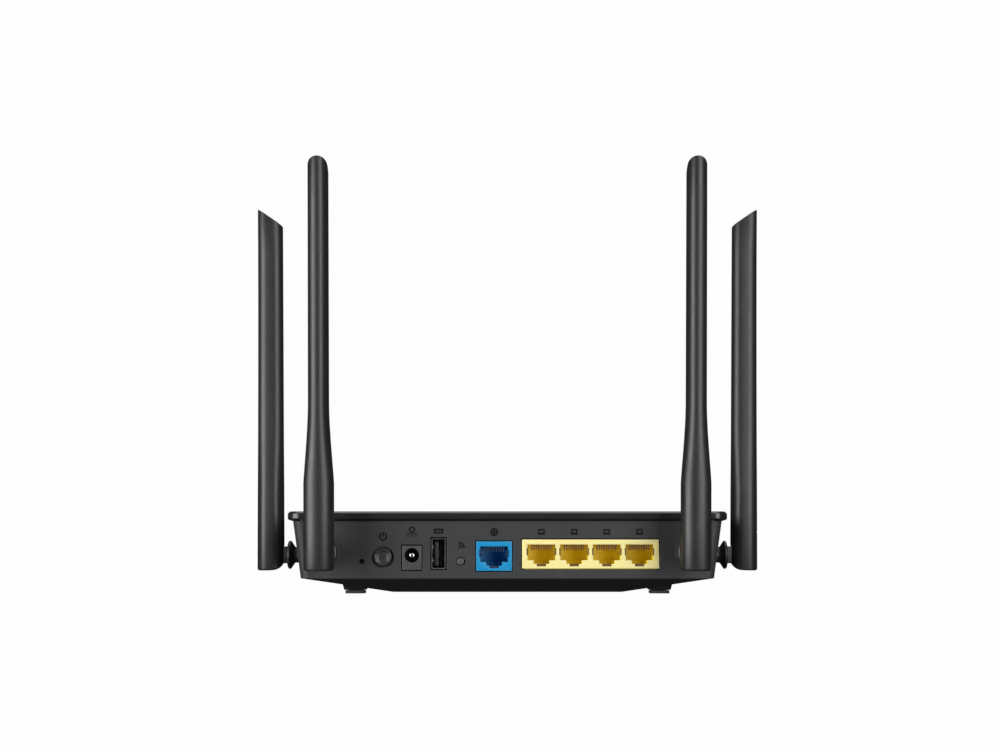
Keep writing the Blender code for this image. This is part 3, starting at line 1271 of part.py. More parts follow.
def build_materials():
    """All materials of the router."""
    return {
        "black": make_material("black_plastic", (0.035, 0.035, 0.037), 0.45),
        "lid": make_material("lid_plastic", (0.022, 0.022, 0.024), 0.30),
        "dark_plastic": make_material("dark_plastic", (0.015, 0.015, 0.015), 0.5),
        "grey": make_material("grey_plastic", (0.10, 0.10, 0.105), 0.5),
        "yellow": make_material("yellow_plastic", (0.85, 0.62, 0.12), 0.4),
        "blue": make_material("blue_plastic", (0.01, 0.28, 0.62), 0.35),
        "rubber": make_material("foot_rubber", (0.02, 0.02, 0.02), 0.8),
        "clear": make_material("clear_plastic", (0.7, 0.7, 0.72), 0.2),
        "board": make_material("circuit_board", (0.02, 0.14, 0.06), 0.45),
        "cable": make_material("cable_jacket", (0.03, 0.03, 0.03), 0.4),
        "steel": make_material("steel", (0.55, 0.55, 0.56), 0.3, 1.0),
        "tin": make_material("tin_plate", (0.62, 0.62, 0.6), 0.35, 1.0),
        "gold": make_material("gold_plate", (0.83, 0.62, 0.22), 0.3, 1.0),
        "aluminium": make_material("aluminium", (0.7, 0.7, 0.71), 0.4, 1.0),
    }


def main():
    """Build the whole router."""
    clear_scene()
    materials = build_materials()
    build_top_cover(materials["lid"])
    build_bottom_case(materials["black"])
    build_light_pipe(materials["clear"])
    build_feet(materials["rubber"])
    build_case_screws(materials["steel"])
    build_antennas(materials)
    build_jack("lan_jack_block", LAN_CENTRE_X, LAN_BOTTOM_Z, LAN_SIZE, port_xs(), materials["yellow"])
    build_jack("wan_jack", WAN_CENTRE_X, WAN_BOTTOM_Z, WAN_SIZE, [WAN_CENTRE_X], materials["blue"])
    build_contacts(materials["gold"])
    build_usb(materials["tin"], materials["dark_plastic"])
    build_dc_jack(materials["grey"], materials["steel"])
    build_buttons(materials)
    build_electronics(materials)


main()
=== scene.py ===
"""Wireless router with four tilting antennas: the finished look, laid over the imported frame.

Metres, +Z up. The port panel faces -Y and the indicator lights are at +Y. "left" and "right" are
as seen from behind the router, looking along +Y.
"""
import json
import math

import bmesh
import bpy
from mathutils import Matrix, Vector

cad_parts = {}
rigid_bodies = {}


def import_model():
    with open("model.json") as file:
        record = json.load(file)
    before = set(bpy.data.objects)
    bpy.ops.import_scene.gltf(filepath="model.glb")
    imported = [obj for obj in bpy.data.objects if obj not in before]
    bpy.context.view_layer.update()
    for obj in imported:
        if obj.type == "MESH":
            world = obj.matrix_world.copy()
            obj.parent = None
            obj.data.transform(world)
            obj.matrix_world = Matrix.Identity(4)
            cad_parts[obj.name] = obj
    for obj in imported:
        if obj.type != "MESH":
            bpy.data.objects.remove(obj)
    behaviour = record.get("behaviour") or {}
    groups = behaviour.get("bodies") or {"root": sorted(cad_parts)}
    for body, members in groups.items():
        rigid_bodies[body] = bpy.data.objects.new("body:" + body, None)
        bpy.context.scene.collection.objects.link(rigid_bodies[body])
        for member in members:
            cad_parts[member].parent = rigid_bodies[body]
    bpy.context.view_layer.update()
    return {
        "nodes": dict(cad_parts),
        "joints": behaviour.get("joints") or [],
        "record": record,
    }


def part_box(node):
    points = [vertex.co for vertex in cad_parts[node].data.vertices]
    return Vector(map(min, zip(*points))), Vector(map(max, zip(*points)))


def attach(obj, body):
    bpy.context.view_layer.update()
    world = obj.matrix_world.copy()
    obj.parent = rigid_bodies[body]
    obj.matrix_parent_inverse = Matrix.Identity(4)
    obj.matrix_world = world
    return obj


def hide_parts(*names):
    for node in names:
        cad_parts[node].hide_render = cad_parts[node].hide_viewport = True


ANTENNAS = ("rear_left", "rear_right", "side_left", "side_right")
CORNERS = ("front_left", "front_right", "rear_left", "rear_right")

# Whip, in its own frame: origin on the tilt pin, +X away from the wall, +Z up the whip
WHIP_BELOW_PIN = 0.0073
WHIP_ABOVE_PIN = 0.1668
WHIP_INNER_X = -0.0070
WHIP_INNER_LEAN = 0.0009
WHIP_DEPTH = 0.0126
WHIP_TIP_KICK = 0.0004
WHIP_WIDE_HALF = 0.00625
WHIP_SLIM_HALF = 0.00425
WHIP_FLARE_START = 0.0291
WHIP_FLARE_LENGTH = 0.0343
WHIP_CORNER = 0.0040
WHIP_TIP_SLANT = math.radians(35.5)
WHIP_TIP_ROUND = 0.0006
WHIP_HEEL_R = 0.0074
WHIP_SEAM_Z = 0.0107
WHIP_SEAM_DEPTH = 0.00024
WHIP_SEAM_HALF_HEIGHT = 0.00022
WHIP_SEAM_ENDS = (-0.0046, 0.0004)
HINGE_SLOT_R = 0.0043
HINGE_SLOT_HALF = 0.0028
HINGE_REACH = 0.0105
PIN_BORE_R = 0.0015
PIN_BORE_HALF = 0.0049
CAVITY_LOW = (-0.0038, -0.0027, 0.0090)
CAVITY_HIGH = (0.0028, 0.0027, 0.1520)
CAVITY_NECK_HALF = 0.0015

# Collar, along +X from the wall
COLLAR_STATIONS = (
    (0.0032, 0.0016), (-0.0070, 0.0016), (-0.0070, 0.00405), (-0.0054, 0.0057), (-0.0037, 0.0057),
    (-0.0037, 0.00445), (0.0031, 0.00445), (0.0034, 0.00425), (0.0039, 0.0038), (0.0042, 0.0037),
    (0.0054, 0.0037), (0.0059, 0.0040), (0.0074, 0.0062), (0.0076, 0.0065), (0.0078, 0.00664),
    (0.0082, 0.00664), (0.0086, 0.0065), (0.0089, 0.0061), (0.0090, 0.0056),
)
TONGUE_HALF_THICKNESS = 0.0025
TONGUE_HALF_HEIGHT = 0.0040
TONGUE_ROOT = 0.0080
PIN_REACH = 0.0179

# Sockets
PORT_WIDTH = 0.0119
PORT_HEIGHT = 0.0067
PORT_DEPTH = 0.0140
PORT_TOP_MARGIN = 0.0021
SLOT_WIDTH = 0.0127
SLOT_TOP = 0.0015
SLOT_BOTTOM = 0.0046
LATCH_STEPS = ((0.0068, 0.0015), (0.0040, 0.0011))
LAN_FACE_BOTTOM = 0.0107
WAN_FACE_BOTTOM = 0.0097
LAN_PITCH = 0.01397
WIRE_PITCH = 0.00102
WIRE_COUNT = 8
COMB_DROP = 0.0024
RIB_HALF_WIDTH = 0.00024
RIB_START, RIB_END = 0.0009, 0.0042
BLOCK_FOOT_MARGIN = 0.0010
BLOCK_FOOT_SHIFT = 0.0014
USB_WALL = 0.00045
USB_CORNER = 0.0006
USB_TAB_HEIGHTS = (0.28, 0.72)
USB_TAB_LENGTH = 0.0050
USB_TAB_LEAN = 0.0005
USB_TAB_START = 0.0030
USB_BLADE_SHIFT = 0.0002
USB_STRIP_ZS = (-0.0035, -0.0011, 0.0011, 0.0035)
DC_HOLE_R = 0.00305
DC_HOLE_Z = 0.0163
DC_HOLE_DEPTH = 0.0095

# Port panel: its plane, and the middles of its buttons and small sockets
PANEL_Y = -0.0601
POWER_X, POWER_Z = -0.0531, 0.0155
PAIR_X, PAIR_Z = -0.0200, 0.0137
RESET_X, RESET_Z = -0.0622, 0.0137
INLET_X = -0.0408
USB_X = -0.0294
WAN_X = -0.0057
LAN_MIDDLE_X = 0.0355

# Case and lid
# KEEL_TOP: heights over which the case's colour fades into painted shade under the keel
KEEL_TOP = (0.0058, 0.0064)
CASE_EDGE_ROUND = 0.00022
LID_EDGE_ROUND = 0.00018
LID_RIM_DEPTH = 0.0040
SMALL_HOLE_REACH = 0.0030
SMALL_HOLE_DEPTH = 0.010
SHARP_EDGE = math.radians(28.0)

# Contact wires: their section, and the steps along Y and Z that they take into the socket
WIRE_HALF_WIDTH = 0.0002
WIRE_THICKNESS = 0.0003
WIRE_STEPS = ((0.0014, -0.0001), (0.0022, -0.0006), (0.0022, -0.0007), (0.0016, -0.0003))

# Round pieces, as (distance along the axis, radius); zero is the panel, or the tip of the inlet pin
INLET_PIN_TIP = ((-0.0009, 0.0012), (-0.0004, 0.00112), (-0.0001, 0.00092), (0.0, 0.0006),
                 (-0.0002, 0.00045), (-0.0012, 0.0004))
INLET_PIN_BORE_R = 0.0015
POWER_CAP = (
    (-0.0066, 0.0020), (-0.0033, 0.0020), (-0.0033, 0.0044), (-0.0025, 0.0044), (-0.0025, 0.0038),
    (0.0009, 0.0038), (0.0012, 0.0037), (0.00135, 0.00352), (0.0014, 0.0033), (0.00135, 0.00305),
    (0.00110, 0.00285), (0.00085, 0.0023), (0.00072, 0.0014), (0.00068, 0.0006),
)
PAIR_STEM_R = 0.00085
PAIR_CAP = (
    (-0.0033, PAIR_STEM_R), (-0.0033, 0.0022), (-0.0025, 0.0022), (-0.0025, 0.00155),
    (0.0001, 0.00155), (0.00025, 0.00148), (0.00036, 0.00125), (0.0004, 0.0009),
)

# Raised symbols: line width, height, and the heights of their middles
SYMBOL_LINE = 0.00060
SYMBOL_HEIGHT = 0.00018
POWER_SYMBOL_Z = 0.0243
INLET_SYMBOL_Z = 0.0262
USB_SYMBOL_Z = 0.0266
PAIR_SYMBOL_Z = 0.0204
WAN_SYMBOL_Z = 0.0262
LAN_SYMBOL_Z = 0.0263

# Feet and screws
PAD_THICKNESS = 0.0012
PAD_CORNER = 0.0020
PAD_MARGIN = 0.0026
SCREW_HEAD = ((0.0, 0.0022), (0.0003, 0.0028), (0.0006, 0.0029), (0.0016, 0.0029))
SCREW_SHAFT_R = 0.0014
SCREW_END_R = 0.0007
SCREW_END = 0.0008
CROSS_LOW = (-0.0015, -0.00028, -0.0010)
CROSS_HIGH = (0.0015, 0.00028, 0.0009)

# Worn edges: how far from an edge the wear reaches, and where it starts and ends
WORN_REACH = 0.0003
WORN_RANGE = (0.88, 0.99)

# Camera and studio
CAMERA_PLACE = (0.0, -0.7342, 0.0177)
CAMERA_PITCH = math.radians(6.435)
CAMERA_LENS = 56.5
CAMERA_SHIFT_X = -0.0074
FLOOR_R = 5.0
SURROUND_R = 4.9
PAPER_SHADE = 0.985
WORLD_COLOUR = (0.035, 0.035, 0.037, 1.0)
SOFTBOXES = (
    # name, place, size, power, whether it stands upright
    ("left_softbox", (-0.84, -0.72, 0.13), (0.72, 0.84), 14.5, True),
    ("right_softbox", (0.63, -0.90, 0.13), (0.52, 0.84), 7.2, True),
    ("front_softbox", (0.95, -1.25, 0.95), (1.20, 0.60), 9.5, False),
    ("overhead_softbox", (0.0, 0.20, 1.30), (1.20, 1.00), 12.0, False),
)


# ---------------------------------------------------------------- bench work

def put_tools_down():
    """Leave edit mode and let go of everything."""
    if bpy.context.object is not None and bpy.context.object.mode != "OBJECT":
        bpy.ops.object.mode_set(mode="OBJECT")
    bpy.ops.object.select_all(action="DESELECT")


def hold(thing):
    """Select one piece alone."""
    put_tools_down()
    thing.select_set(True)
    bpy.context.view_layer.objects.active = thing


def open_up(thing):
    """Hold one piece in edit mode."""
    hold(thing)
    bpy.ops.object.mode_set(mode="EDIT")


def close_up():
    """Back to object mode."""
    bpy.ops.object.mode_set(mode="OBJECT")


def pick(thing, kind, test):
    """In edit mode, select the faces or edges for which the test holds."""
    bpy.ops.mesh.select_mode(type=kind)
    bpy.ops.mesh.select_all(action="DESELECT")
    mesh = bmesh.from_edit_mesh(thing.data)
    for part in {"FACE": mesh.faces, "EDGE": mesh.edges}[kind]:
        if test(part):
            part.select_set(True)
    mesh.select_flush_mode()
    bmesh.update_edit_mesh(thing.data)


def pull_out(step):
    """In edit mode, extrude the selection by a step."""
    bpy.ops.mesh.extrude_region_move(TRANSFORM_OT_translate={"value": step})


def settle(thing):
    """Write the piece's place, turn and size into its mesh."""
    hold(thing)
    bpy.ops.object.transform_apply(location=True, rotation=True, scale=True)
    return thing


def new_block(name, low, high):
    """A block between two corners."""
    put_tools_down()
    bpy.ops.mesh.primitive_cube_add(size=1.0, location=[(a + b) / 2.0 for a, b in zip(low, high)])
    block = bpy.context.object
    block.name = name
    block.scale = [b - a for a, b in zip(low, high)]
    return settle(block)


def new_rod(name, start, end, radius, steps):
    """A round rod from one point to another."""
    put_tools_down()
    start, end = Vector(start), Vector(end)
    bpy.ops.mesh.primitive_cylinder_add(vertices=steps, radius=radius, depth=(end - start).length,
                                        location=(start + end) / 2.0,
                                        rotation=(end - start).to_track_quat("Z", "Y").to_euler())
    rod = bpy.context.object
    rod.name = name
    return settle(rod)


def new_ring(name, centre, radius, thickness, steps=32):
    """A thin round ring that faces the port panel's side."""
    put_tools_down()
    bpy.ops.mesh.primitive_torus_add(major_radius=radius, minor_radius=thickness / 2.0,
                                     major_segments=steps, minor_segments=8, location=centre,
                                     rotation=(math.radians(90.0), 0.0, 0.0))
    ring = bpy.context.object
    ring.name = name
    return settle(ring)


def turn_on_lathe(name, stations, steps):
    """Grow a round piece along +Z from a disc, through (distance, radius) stations."""
    put_tools_down()
    along, radius = stations[0]
    bpy.ops.mesh.primitive_circle_add(vertices=steps, radius=radius, fill_type="NGON",
                                      location=(0.0, 0.0, along))
    piece = bpy.context.object
    piece.name = name
    settle(piece)
    open_up(piece)
    bpy.ops.mesh.select_all(action="SELECT")
    for next_along, next_radius in stations[1:]:
        pull_out((0.0, 0.0, next_along - along))
        ratio = next_radius / radius
        bpy.ops.transform.resize(value=(ratio, ratio, 1.0), center_override=(0.0, 0.0, next_along))
        along, radius = next_along, next_radius
    bpy.ops.mesh.select_all(action="SELECT")
    bpy.ops.mesh.normals_make_consistent(inside=False)
    close_up()
    return piece


def move_to(thing, matrix):
    """Put a piece in its place and write that into its mesh."""
    thing.matrix_world = matrix
    return settle(thing)


def face_out(thing, x, y, z):
    """Turn a lathe piece so that its far end faces out of the port panel, and put it in its place."""
    return move_to(thing, Matrix.Translation((x, y, z)) @ Matrix.Rotation(math.radians(90.0), 4, "X"))


def work(thing, tool, operation):
    """Cut or join a piece with a tool, which is used up."""
    hold(thing)
    step = thing.modifiers.new("shaping", "BOOLEAN")
    step.operation = operation
    step.solver = "EXACT"
    step.object = tool
    bpy.ops.object.modifier_apply(modifier=step.name)
    bpy.data.objects.remove(tool)


def cut(thing, *tools):
    """Cut a piece with tools, one after the other."""
    for tool in tools:
        work(thing, tool, "DIFFERENCE")


def soften(thing, width, rounds=2, sharper_than=30.0):
    """Round the piece's sharp edges."""
    hold(thing)
    step = thing.modifiers.new("rounding", "BEVEL")
    step.width = width
    step.segments = rounds
    step.limit_method = "ANGLE"
    step.angle_limit = math.radians(sharper_than)
    bpy.ops.object.modifier_apply(modifier=step.name)


def gather(name, pieces):
    """Join several pieces into one."""
    hold(pieces[0])
    for piece in pieces[1:]:
        piece.select_set(True)
    bpy.ops.object.join()
    pieces[0].name = name
    return pieces[0]


def another(thing, name, shift=(0.0, 0.0, 0.0)):
    """A copy with its own mesh, moved by a shift."""
    hold(thing)
    bpy.ops.object.duplicate(linked=False)
    copy = bpy.context.object
    copy.name = name
    copy.location = shift
    return settle(copy)


def merged_copy(node, name):
    """A copy of a CAD node with its loose triangles merged and its flat faces whole."""
    piece = bpy.data.objects.new(name, frame["nodes"][node].data.copy())
    bpy.context.scene.collection.objects.link(piece)
    open_up(piece)
    bpy.ops.mesh.select_all(action="SELECT")
    bpy.ops.mesh.remove_doubles(threshold=0.000002)
    bpy.ops.mesh.dissolve_limited(angle_limit=math.radians(0.4))
    close_up()
    return piece


def hand_over(piece, body, finish, slot, *nodes, smooth=35.0, flat_first=False):
    """Give a piece its finish and its body, in the place of the CAD nodes it stands for."""
    hold(piece)
    piece.data.materials.clear()
    piece.data.materials.append(finish)
    for polygon in piece.data.polygons:
        polygon.material_index = 0
    bpy.ops.object.shade_smooth_by_angle(angle=math.radians(smooth))
    if flat_first:
        step = piece.modifiers.new("flat_faces_first", "WEIGHTED_NORMAL")
        step.keep_sharp = True
        bpy.ops.object.modifier_apply(modifier=step.name)
    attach(piece, body)
    if nodes:
        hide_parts(*nodes)


# ---------------------------------------------------------------- finishes

class Finish:
    """A material and the short steps that build it."""

    def __init__(self, name):
        self.material = bpy.data.materials.new(name)
        self.material.use_nodes = True
        self.nodes = self.material.node_tree.nodes
        self.links = self.material.node_tree.links
        self.shader = self.nodes["Principled BSDF"]
        self.place = self.nodes.new("ShaderNodeTexCoord").outputs["Object"]

    def set(self, **values):
        """Set numbers on the shader, with spaces written as underscores."""
        for key, value in values.items():
            self.shader.inputs[key.replace("_", " ")].default_value = value

    def stretched(self, scale):
        """The piece's own coordinates, stretched along each axis."""
        mapping = self.nodes.new("ShaderNodeMapping")
        mapping.inputs["Scale"].default_value = scale
        self.links.new(self.place, mapping.inputs["Vector"])
        return mapping.outputs["Vector"]

    def along(self, axis):
        """The piece's own coordinate along one axis."""
        split = self.nodes.new("ShaderNodeSeparateXYZ")
        self.links.new(self.place, split.inputs["Vector"])
        return split.outputs[axis]

    def noise(self, size, detail=3.0, place=None):
        """Cloudy noise with patches of a size in metres."""
        noise = self.nodes.new("ShaderNodeTexNoise")
        noise.inputs["Scale"].default_value = 1.0 / size
        noise.inputs["Detail"].default_value = detail
        self.links.new(place or self.place, noise.inputs["Vector"])
        return noise.outputs["Fac"]

    def ranged(self, value, low, high, start=0.3, end=0.7):
        """Map a value from start..end onto low..high."""
        ranged = self.nodes.new("ShaderNodeMapRange")
        for key, number in (("From Min", start), ("From Max", end), ("To Min", low), ("To Max", high)):
            ranged.inputs[key].default_value = number
        self.links.new(value, ranged.inputs["Value"])
        return ranged.outputs["Result"]

    def blend(self, share, first, second):
        """A colour between two colours or colour sockets."""
        mix = self.nodes.new("ShaderNodeMix")
        mix.data_type = "RGBA"
        self.links.new(share, mix.inputs["Factor"])
        for socket, colour in ((mix.inputs[6], first), (mix.inputs[7], second)):
            if isinstance(colour, tuple):
                socket.default_value = (*colour, 1.0)
            else:
                self.links.new(colour, socket)
        return mix.outputs[2]

    def edges(self):
        """1 along edges and 0 on flat or gently curved faces."""
        rounded = self.nodes.new("ShaderNodeBevel")
        rounded.samples = 4
        rounded.inputs["Radius"].default_value = WORN_REACH
        geometry = self.nodes.new("ShaderNodeNewGeometry")
        alike = self.nodes.new("ShaderNodeVectorMath")
        alike.operation = "DOT_PRODUCT"
        self.links.new(rounded.outputs["Normal"], alike.inputs[0])
        self.links.new(geometry.outputs["Normal"], alike.inputs[1])
        return self.ranged(alike.outputs["Value"], 1.0, 0.0, *WORN_RANGE)

    def colour(self, socket):
        """Send a colour to the shader."""
        self.links.new(socket, self.shader.inputs["Base Color"])

    def roughness(self, socket):
        """Send a roughness to the shader."""
        self.links.new(socket, self.shader.inputs["Roughness"])

    def relief(self, height, depth):
        """Raise the surface by a height socket, up to a depth in metres."""
        bump = self.nodes.new("ShaderNodeBump")
        bump.inputs["Distance"].default_value = depth
        bump.inputs["Strength"].default_value = 1.0
        self.links.new(height, bump.inputs["Height"])
        self.links.new(bump.outputs["Normal"], self.shader.inputs["Normal"])


def grey(value):
    """A neutral grey."""
    return value, value, value


def moulded(name, colour, worn, smooth_to_rough, grain_depth, grain_size=0.0003, sheen=0.5):
    """Moulded plastic: fine grain, cloudy gloss, edges rubbed lighter."""
    finish = Finish(name)
    deep = tuple(0.86 * part for part in colour)
    cloud = finish.blend(finish.ranged(finish.noise(0.012), 0.0, 1.0), deep, colour)
    finish.colour(finish.blend(finish.edges(), cloud, worn))
    finish.roughness(finish.ranged(finish.noise(0.006, 4.0), *smooth_to_rough))
    finish.relief(finish.noise(grain_size, 2.0), grain_depth)
    finish.set(Specular_IOR_Level=sheen)
    return finish.material


def case_grain_and_keel_shade():
    """The case's spark-eroded black, with painted shade under the keel: near black and duller below it."""
    finish = Finish("case_black_grain_keel_shade")
    # Painted shade: below the keel top the colour turns near black, to look shaded under the keel.
    above_painted_keel_shade = finish.ranged(finish.along("Z"), 0.0, 1.0, *KEEL_TOP)
    cloud = finish.blend(finish.ranged(finish.noise(0.012), 0.0, 1.0),
                         (0.025, 0.026, 0.027), (0.029, 0.030, 0.031))
    panel = finish.blend(finish.edges(), cloud, (0.060, 0.061, 0.063))
    finish.colour(finish.blend(above_painted_keel_shade, grey(0.002), panel))
    roughness = finish.ranged(finish.noise(0.006, 4.0), 0.50, 0.60)
    duller = finish.nodes.new("ShaderNodeMath")
    duller.operation = "MAXIMUM"
    finish.links.new(roughness, duller.inputs[0])
    finish.links.new(finish.ranged(above_painted_keel_shade, 0.95, 0.0, 0.0, 1.0), duller.inputs[1])
    finish.roughness(duller.outputs[0])
    finish.set(Specular_IOR_Level=0.30)
    finish.relief(finish.noise(0.00035, 2.0), 0.000020)
    return finish.material


def lid_gloss():
    """The lid: smooth black with faint wiping marks."""
    finish = Finish("lid_black_gloss")
    cloud = finish.ranged(finish.noise(0.02), 0.0, 1.0)
    black = finish.blend(cloud, (0.012, 0.012, 0.013), (0.016, 0.016, 0.017))
    finish.colour(finish.blend(finish.edges(), black, (0.035, 0.035, 0.037)))
    marks = finish.noise(0.012, 4.0, finish.stretched((1.0, 0.35, 1.0)))
    finish.roughness(finish.ranged(marks, 0.23, 0.27))
    finish.relief(finish.noise(0.003, 2.0), 0.0000006)
    return finish.material


def socket_plastic(name, colour, deep, worn):
    """Glossy coloured plastic of the network sockets, with painted light: from the face inwards the colour
    turns brighter and fuller, making up for the light the sockets' insides lack.
    """
    finish = Finish(name)
    face_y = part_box("lan_jack_block")[0].y
    # Painted light: the depth ramp swaps the face colour for the brighter inside colour.
    depth = finish.ranged(finish.along("Y"), 0.0, 1.0, face_y + 0.0001, face_y + 0.0009)
    finish.colour(finish.blend(depth, finish.blend(finish.edges(), colour, worn), deep))
    finish.roughness(finish.ranged(finish.noise(0.003), 0.34, 0.44))
    finish.relief(finish.noise(0.0004, 2.0), 0.000006)
    finish.set(Specular_IOR_Level=0.45)
    return finish.material


def brushed_metal(name, colour, smooth_to_rough):
    """Drawn or rolled metal with fine lines along Y."""
    finish = Finish(name)
    lines = finish.noise(0.0004, 4.0, finish.stretched((1.0, 0.06, 1.0)))
    deep = tuple(0.82 * part for part in colour)
    finish.colour(finish.blend(finish.ranged(lines, 0.0, 1.0), deep, colour))
    finish.roughness(finish.ranged(lines, *smooth_to_rough))
    finish.relief(lines, 0.000004)
    finish.set(Metallic=1.0)
    return finish.material


def circuit_board():
    """Green board with lighter tracks and tinned holes."""
    finish = Finish("circuit_board_green")
    brick = finish.nodes.new("ShaderNodeTexBrick")
    brick.inputs["Scale"].default_value = 90.0
    brick.inputs["Mortar Size"].default_value = 0.045
    brick.inputs["Color1"].default_value = (0.010, 0.085, 0.035, 1.0)
    brick.inputs["Color2"].default_value = (0.012, 0.100, 0.040, 1.0)
    brick.inputs["Mortar"].default_value = (0.030, 0.180, 0.080, 1.0)
    finish.links.new(finish.place, brick.inputs["Vector"])
    holes = finish.nodes.new("ShaderNodeTexVoronoi")
    holes.inputs["Scale"].default_value = 260.0
    finish.links.new(finish.place, holes.inputs["Vector"])
    tinned = finish.ranged(holes.outputs["Distance"], 1.0, 0.0, 0.10, 0.14)
    finish.colour(finish.blend(tinned, brick.outputs["Color"], (0.55, 0.55, 0.52)))
    finish.roughness(finish.ranged(finish.noise(0.004), 0.30, 0.42))
    finish.relief(brick.outputs["Fac"], 0.00002)
    return finish.material


def rubber():
    """Matt black rubber with dust in its pores."""
    finish = Finish("foot_rubber")
    dust = finish.ranged(finish.noise(0.0009, 5.0), 0.0, 1.0, 0.55, 0.75)
    finish.colour(finish.blend(dust, grey(0.016), (0.040, 0.040, 0.039)))
    finish.roughness(finish.ranged(finish.noise(0.002), 0.75, 0.92))
    finish.relief(finish.noise(0.0002, 3.0), 0.00002)
    return finish.material


def milky_light_guide():
    """Frosted clear plastic of the indicator lights."""
    finish = Finish("light_guide_milky")
    cloud = finish.ranged(finish.noise(0.003), 0.0, 1.0)
    finish.colour(finish.blend(cloud, (0.60, 0.62, 0.64), (0.72, 0.73, 0.74)))
    finish.roughness(finish.ranged(finish.noise(0.002), 0.25, 0.40))
    finish.relief(finish.noise(0.0004, 2.0), 0.00001)
    finish.set(Subsurface_Weight=0.25, Transmission_Weight=0.15)
    return finish.material


def make_finishes():
    """Every finish of the router."""
    return {
        "case": case_grain_and_keel_shade(),
        "whip": moulded("whip_black_satin", (0.013, 0.013, 0.014), (0.028, 0.028, 0.030), (0.38, 0.44),
                        0.000003),
        "button": moulded("button_black", (0.026, 0.026, 0.027), (0.070, 0.070, 0.072), (0.32, 0.40),
                          0.000004),
        "lid": lid_gloss(),
        "dc_grey": moulded("inlet_grey", (0.040, 0.041, 0.042), (0.09, 0.09, 0.092), (0.42, 0.52), 0.00001),
        "pair_grey": moulded("pairing_grey", (0.060, 0.062, 0.062), grey(0.12), (0.35, 0.45), 0.00001),
        "dark": moulded("component_black", grey(0.012), grey(0.03), (0.45, 0.6), 0.00001),
        "glyph": moulded("glyph_black", grey(0.0012), grey(0.012), (0.75, 0.85), 0.000002, sheen=0.15),
        # Each socket plastic's second colour is painted light for the socket's inside.
        "yellow": socket_plastic("socket_yellow", (0.70, 0.62, 0.25), (0.98, 0.78, 0.02),
                                 (0.76, 0.69, 0.34)),
        "blue": socket_plastic("socket_blue", (0.0, 0.20, 0.42), (0.0, 0.22, 0.50), (0.02, 0.28, 0.52)),
        # Painted shade: dark brown and navy for the combs and the plates deep in the sockets.
        "yellow_painted_shade": moulded("socket_painted_shade_brown", (0.10, 0.045, 0.008), (0.18, 0.10, 0.015), (0.4, 0.5),
                                0.000004, 0.0004),
        "blue_painted_shade": moulded("socket_painted_shade_navy", (0.0, 0.014, 0.045), (0.0, 0.03, 0.09), (0.4, 0.5),
                              0.000004, 0.0004),
        "rubber": rubber(),
        "clear": milky_light_guide(),
        "board": circuit_board(),
        "cable": moulded("cable_black", grey(0.02), grey(0.04), (0.3, 0.4), 0.000004, 0.0005),
        "steel": brushed_metal("bright_steel", (0.62, 0.62, 0.63), (0.18, 0.30)),
        "tin": brushed_metal("tin_plate", (0.70, 0.70, 0.68), (0.16, 0.30)),
        "gold": brushed_metal("gold_flash", (0.83, 0.60, 0.20), (0.18, 0.30)),
        "aluminium": brushed_metal("extruded_aluminium", (0.72, 0.72, 0.73), (0.30, 0.45)),
    }


SLOT_FINISHES = {
    "lid_plastic": "lid", "black_plastic": "case", "grey_plastic": "dc_grey", "dark_plastic": "dark",
    "yellow_plastic": "yellow", "blue_plastic": "blue", "foot_rubber": "rubber", "clear_plastic": "clear",
    "circuit_board": "board", "cable_jacket": "cable", "steel": "steel", "tin_plate": "tin",
    "gold_plate": "gold", "aluminium": "aluminium",
}


def coat_cad_nodes(finishes):
    """Give every CAD node the finish of its slot."""
    for part in frame["record"]["subparts"]:
        node = frame["nodes"][part["node"]]
        finish = finishes[SLOT_FINISHES[part["material_slot"]]]
        if not node.material_slots:
            node.data.materials.append(finish)
        for slot in node.material_slots:
            slot.material = finish
    frame["nodes"]["reset_plunger"].material_slots[0].material = finishes["glyph"]


# ---------------------------------------------------------------- case and lid

def refine_case(finishes):
    """The lower case, with its moulded edges rounded."""
    case = merged_copy("bottom_case", "case_shell")
    open_up(case)

    def near_small_holes(point):
        if point.y >= PANEL_Y + SMALL_HOLE_DEPTH:
            return False
        return any(math.hypot(point.x - x, point.z - z) < SMALL_HOLE_REACH
                   for x, z in ((PAIR_X, PAIR_Z), (RESET_X, RESET_Z)))

    def moulded_edge(edge):
        if len(edge.link_faces) != 2 or not edge.is_convex:
            return False
        if edge.calc_face_angle() < SHARP_EDGE:
            return False
        return not any(near_small_holes(vert.co) for vert in edge.verts)

    pick(case, "EDGE", moulded_edge)
    bpy.ops.mesh.bevel(offset=CASE_EDGE_ROUND, segments=2, affect="EDGES", clamp_overlap=False)
    close_up()
    hand_over(case, "case", finishes["case"], "black_plastic", "bottom_case", flat_first=True)


def refine_lid(finishes):
    """The lid, with soft edges."""
    lid = merged_copy("top_cover", "lid_shell")
    top_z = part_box("top_cover")[1].z
    open_up(lid)

    def rim_edge(edge):
        if len(edge.link_faces) != 2 or edge.calc_face_angle() < SHARP_EDGE:
            return False
        return all(vert.co.z > top_z - LID_RIM_DEPTH for vert in edge.verts) and edge.is_convex

    pick(lid, "EDGE", rim_edge)
    bpy.ops.mesh.bevel(offset=LID_EDGE_ROUND, segments=2, affect="EDGES", clamp_overlap=False)
    close_up()
    hand_over(lid, "case", finishes["lid"], "lid_plastic", "top_cover", flat_first=True)


# ---------------------------------------------------------------- antennas

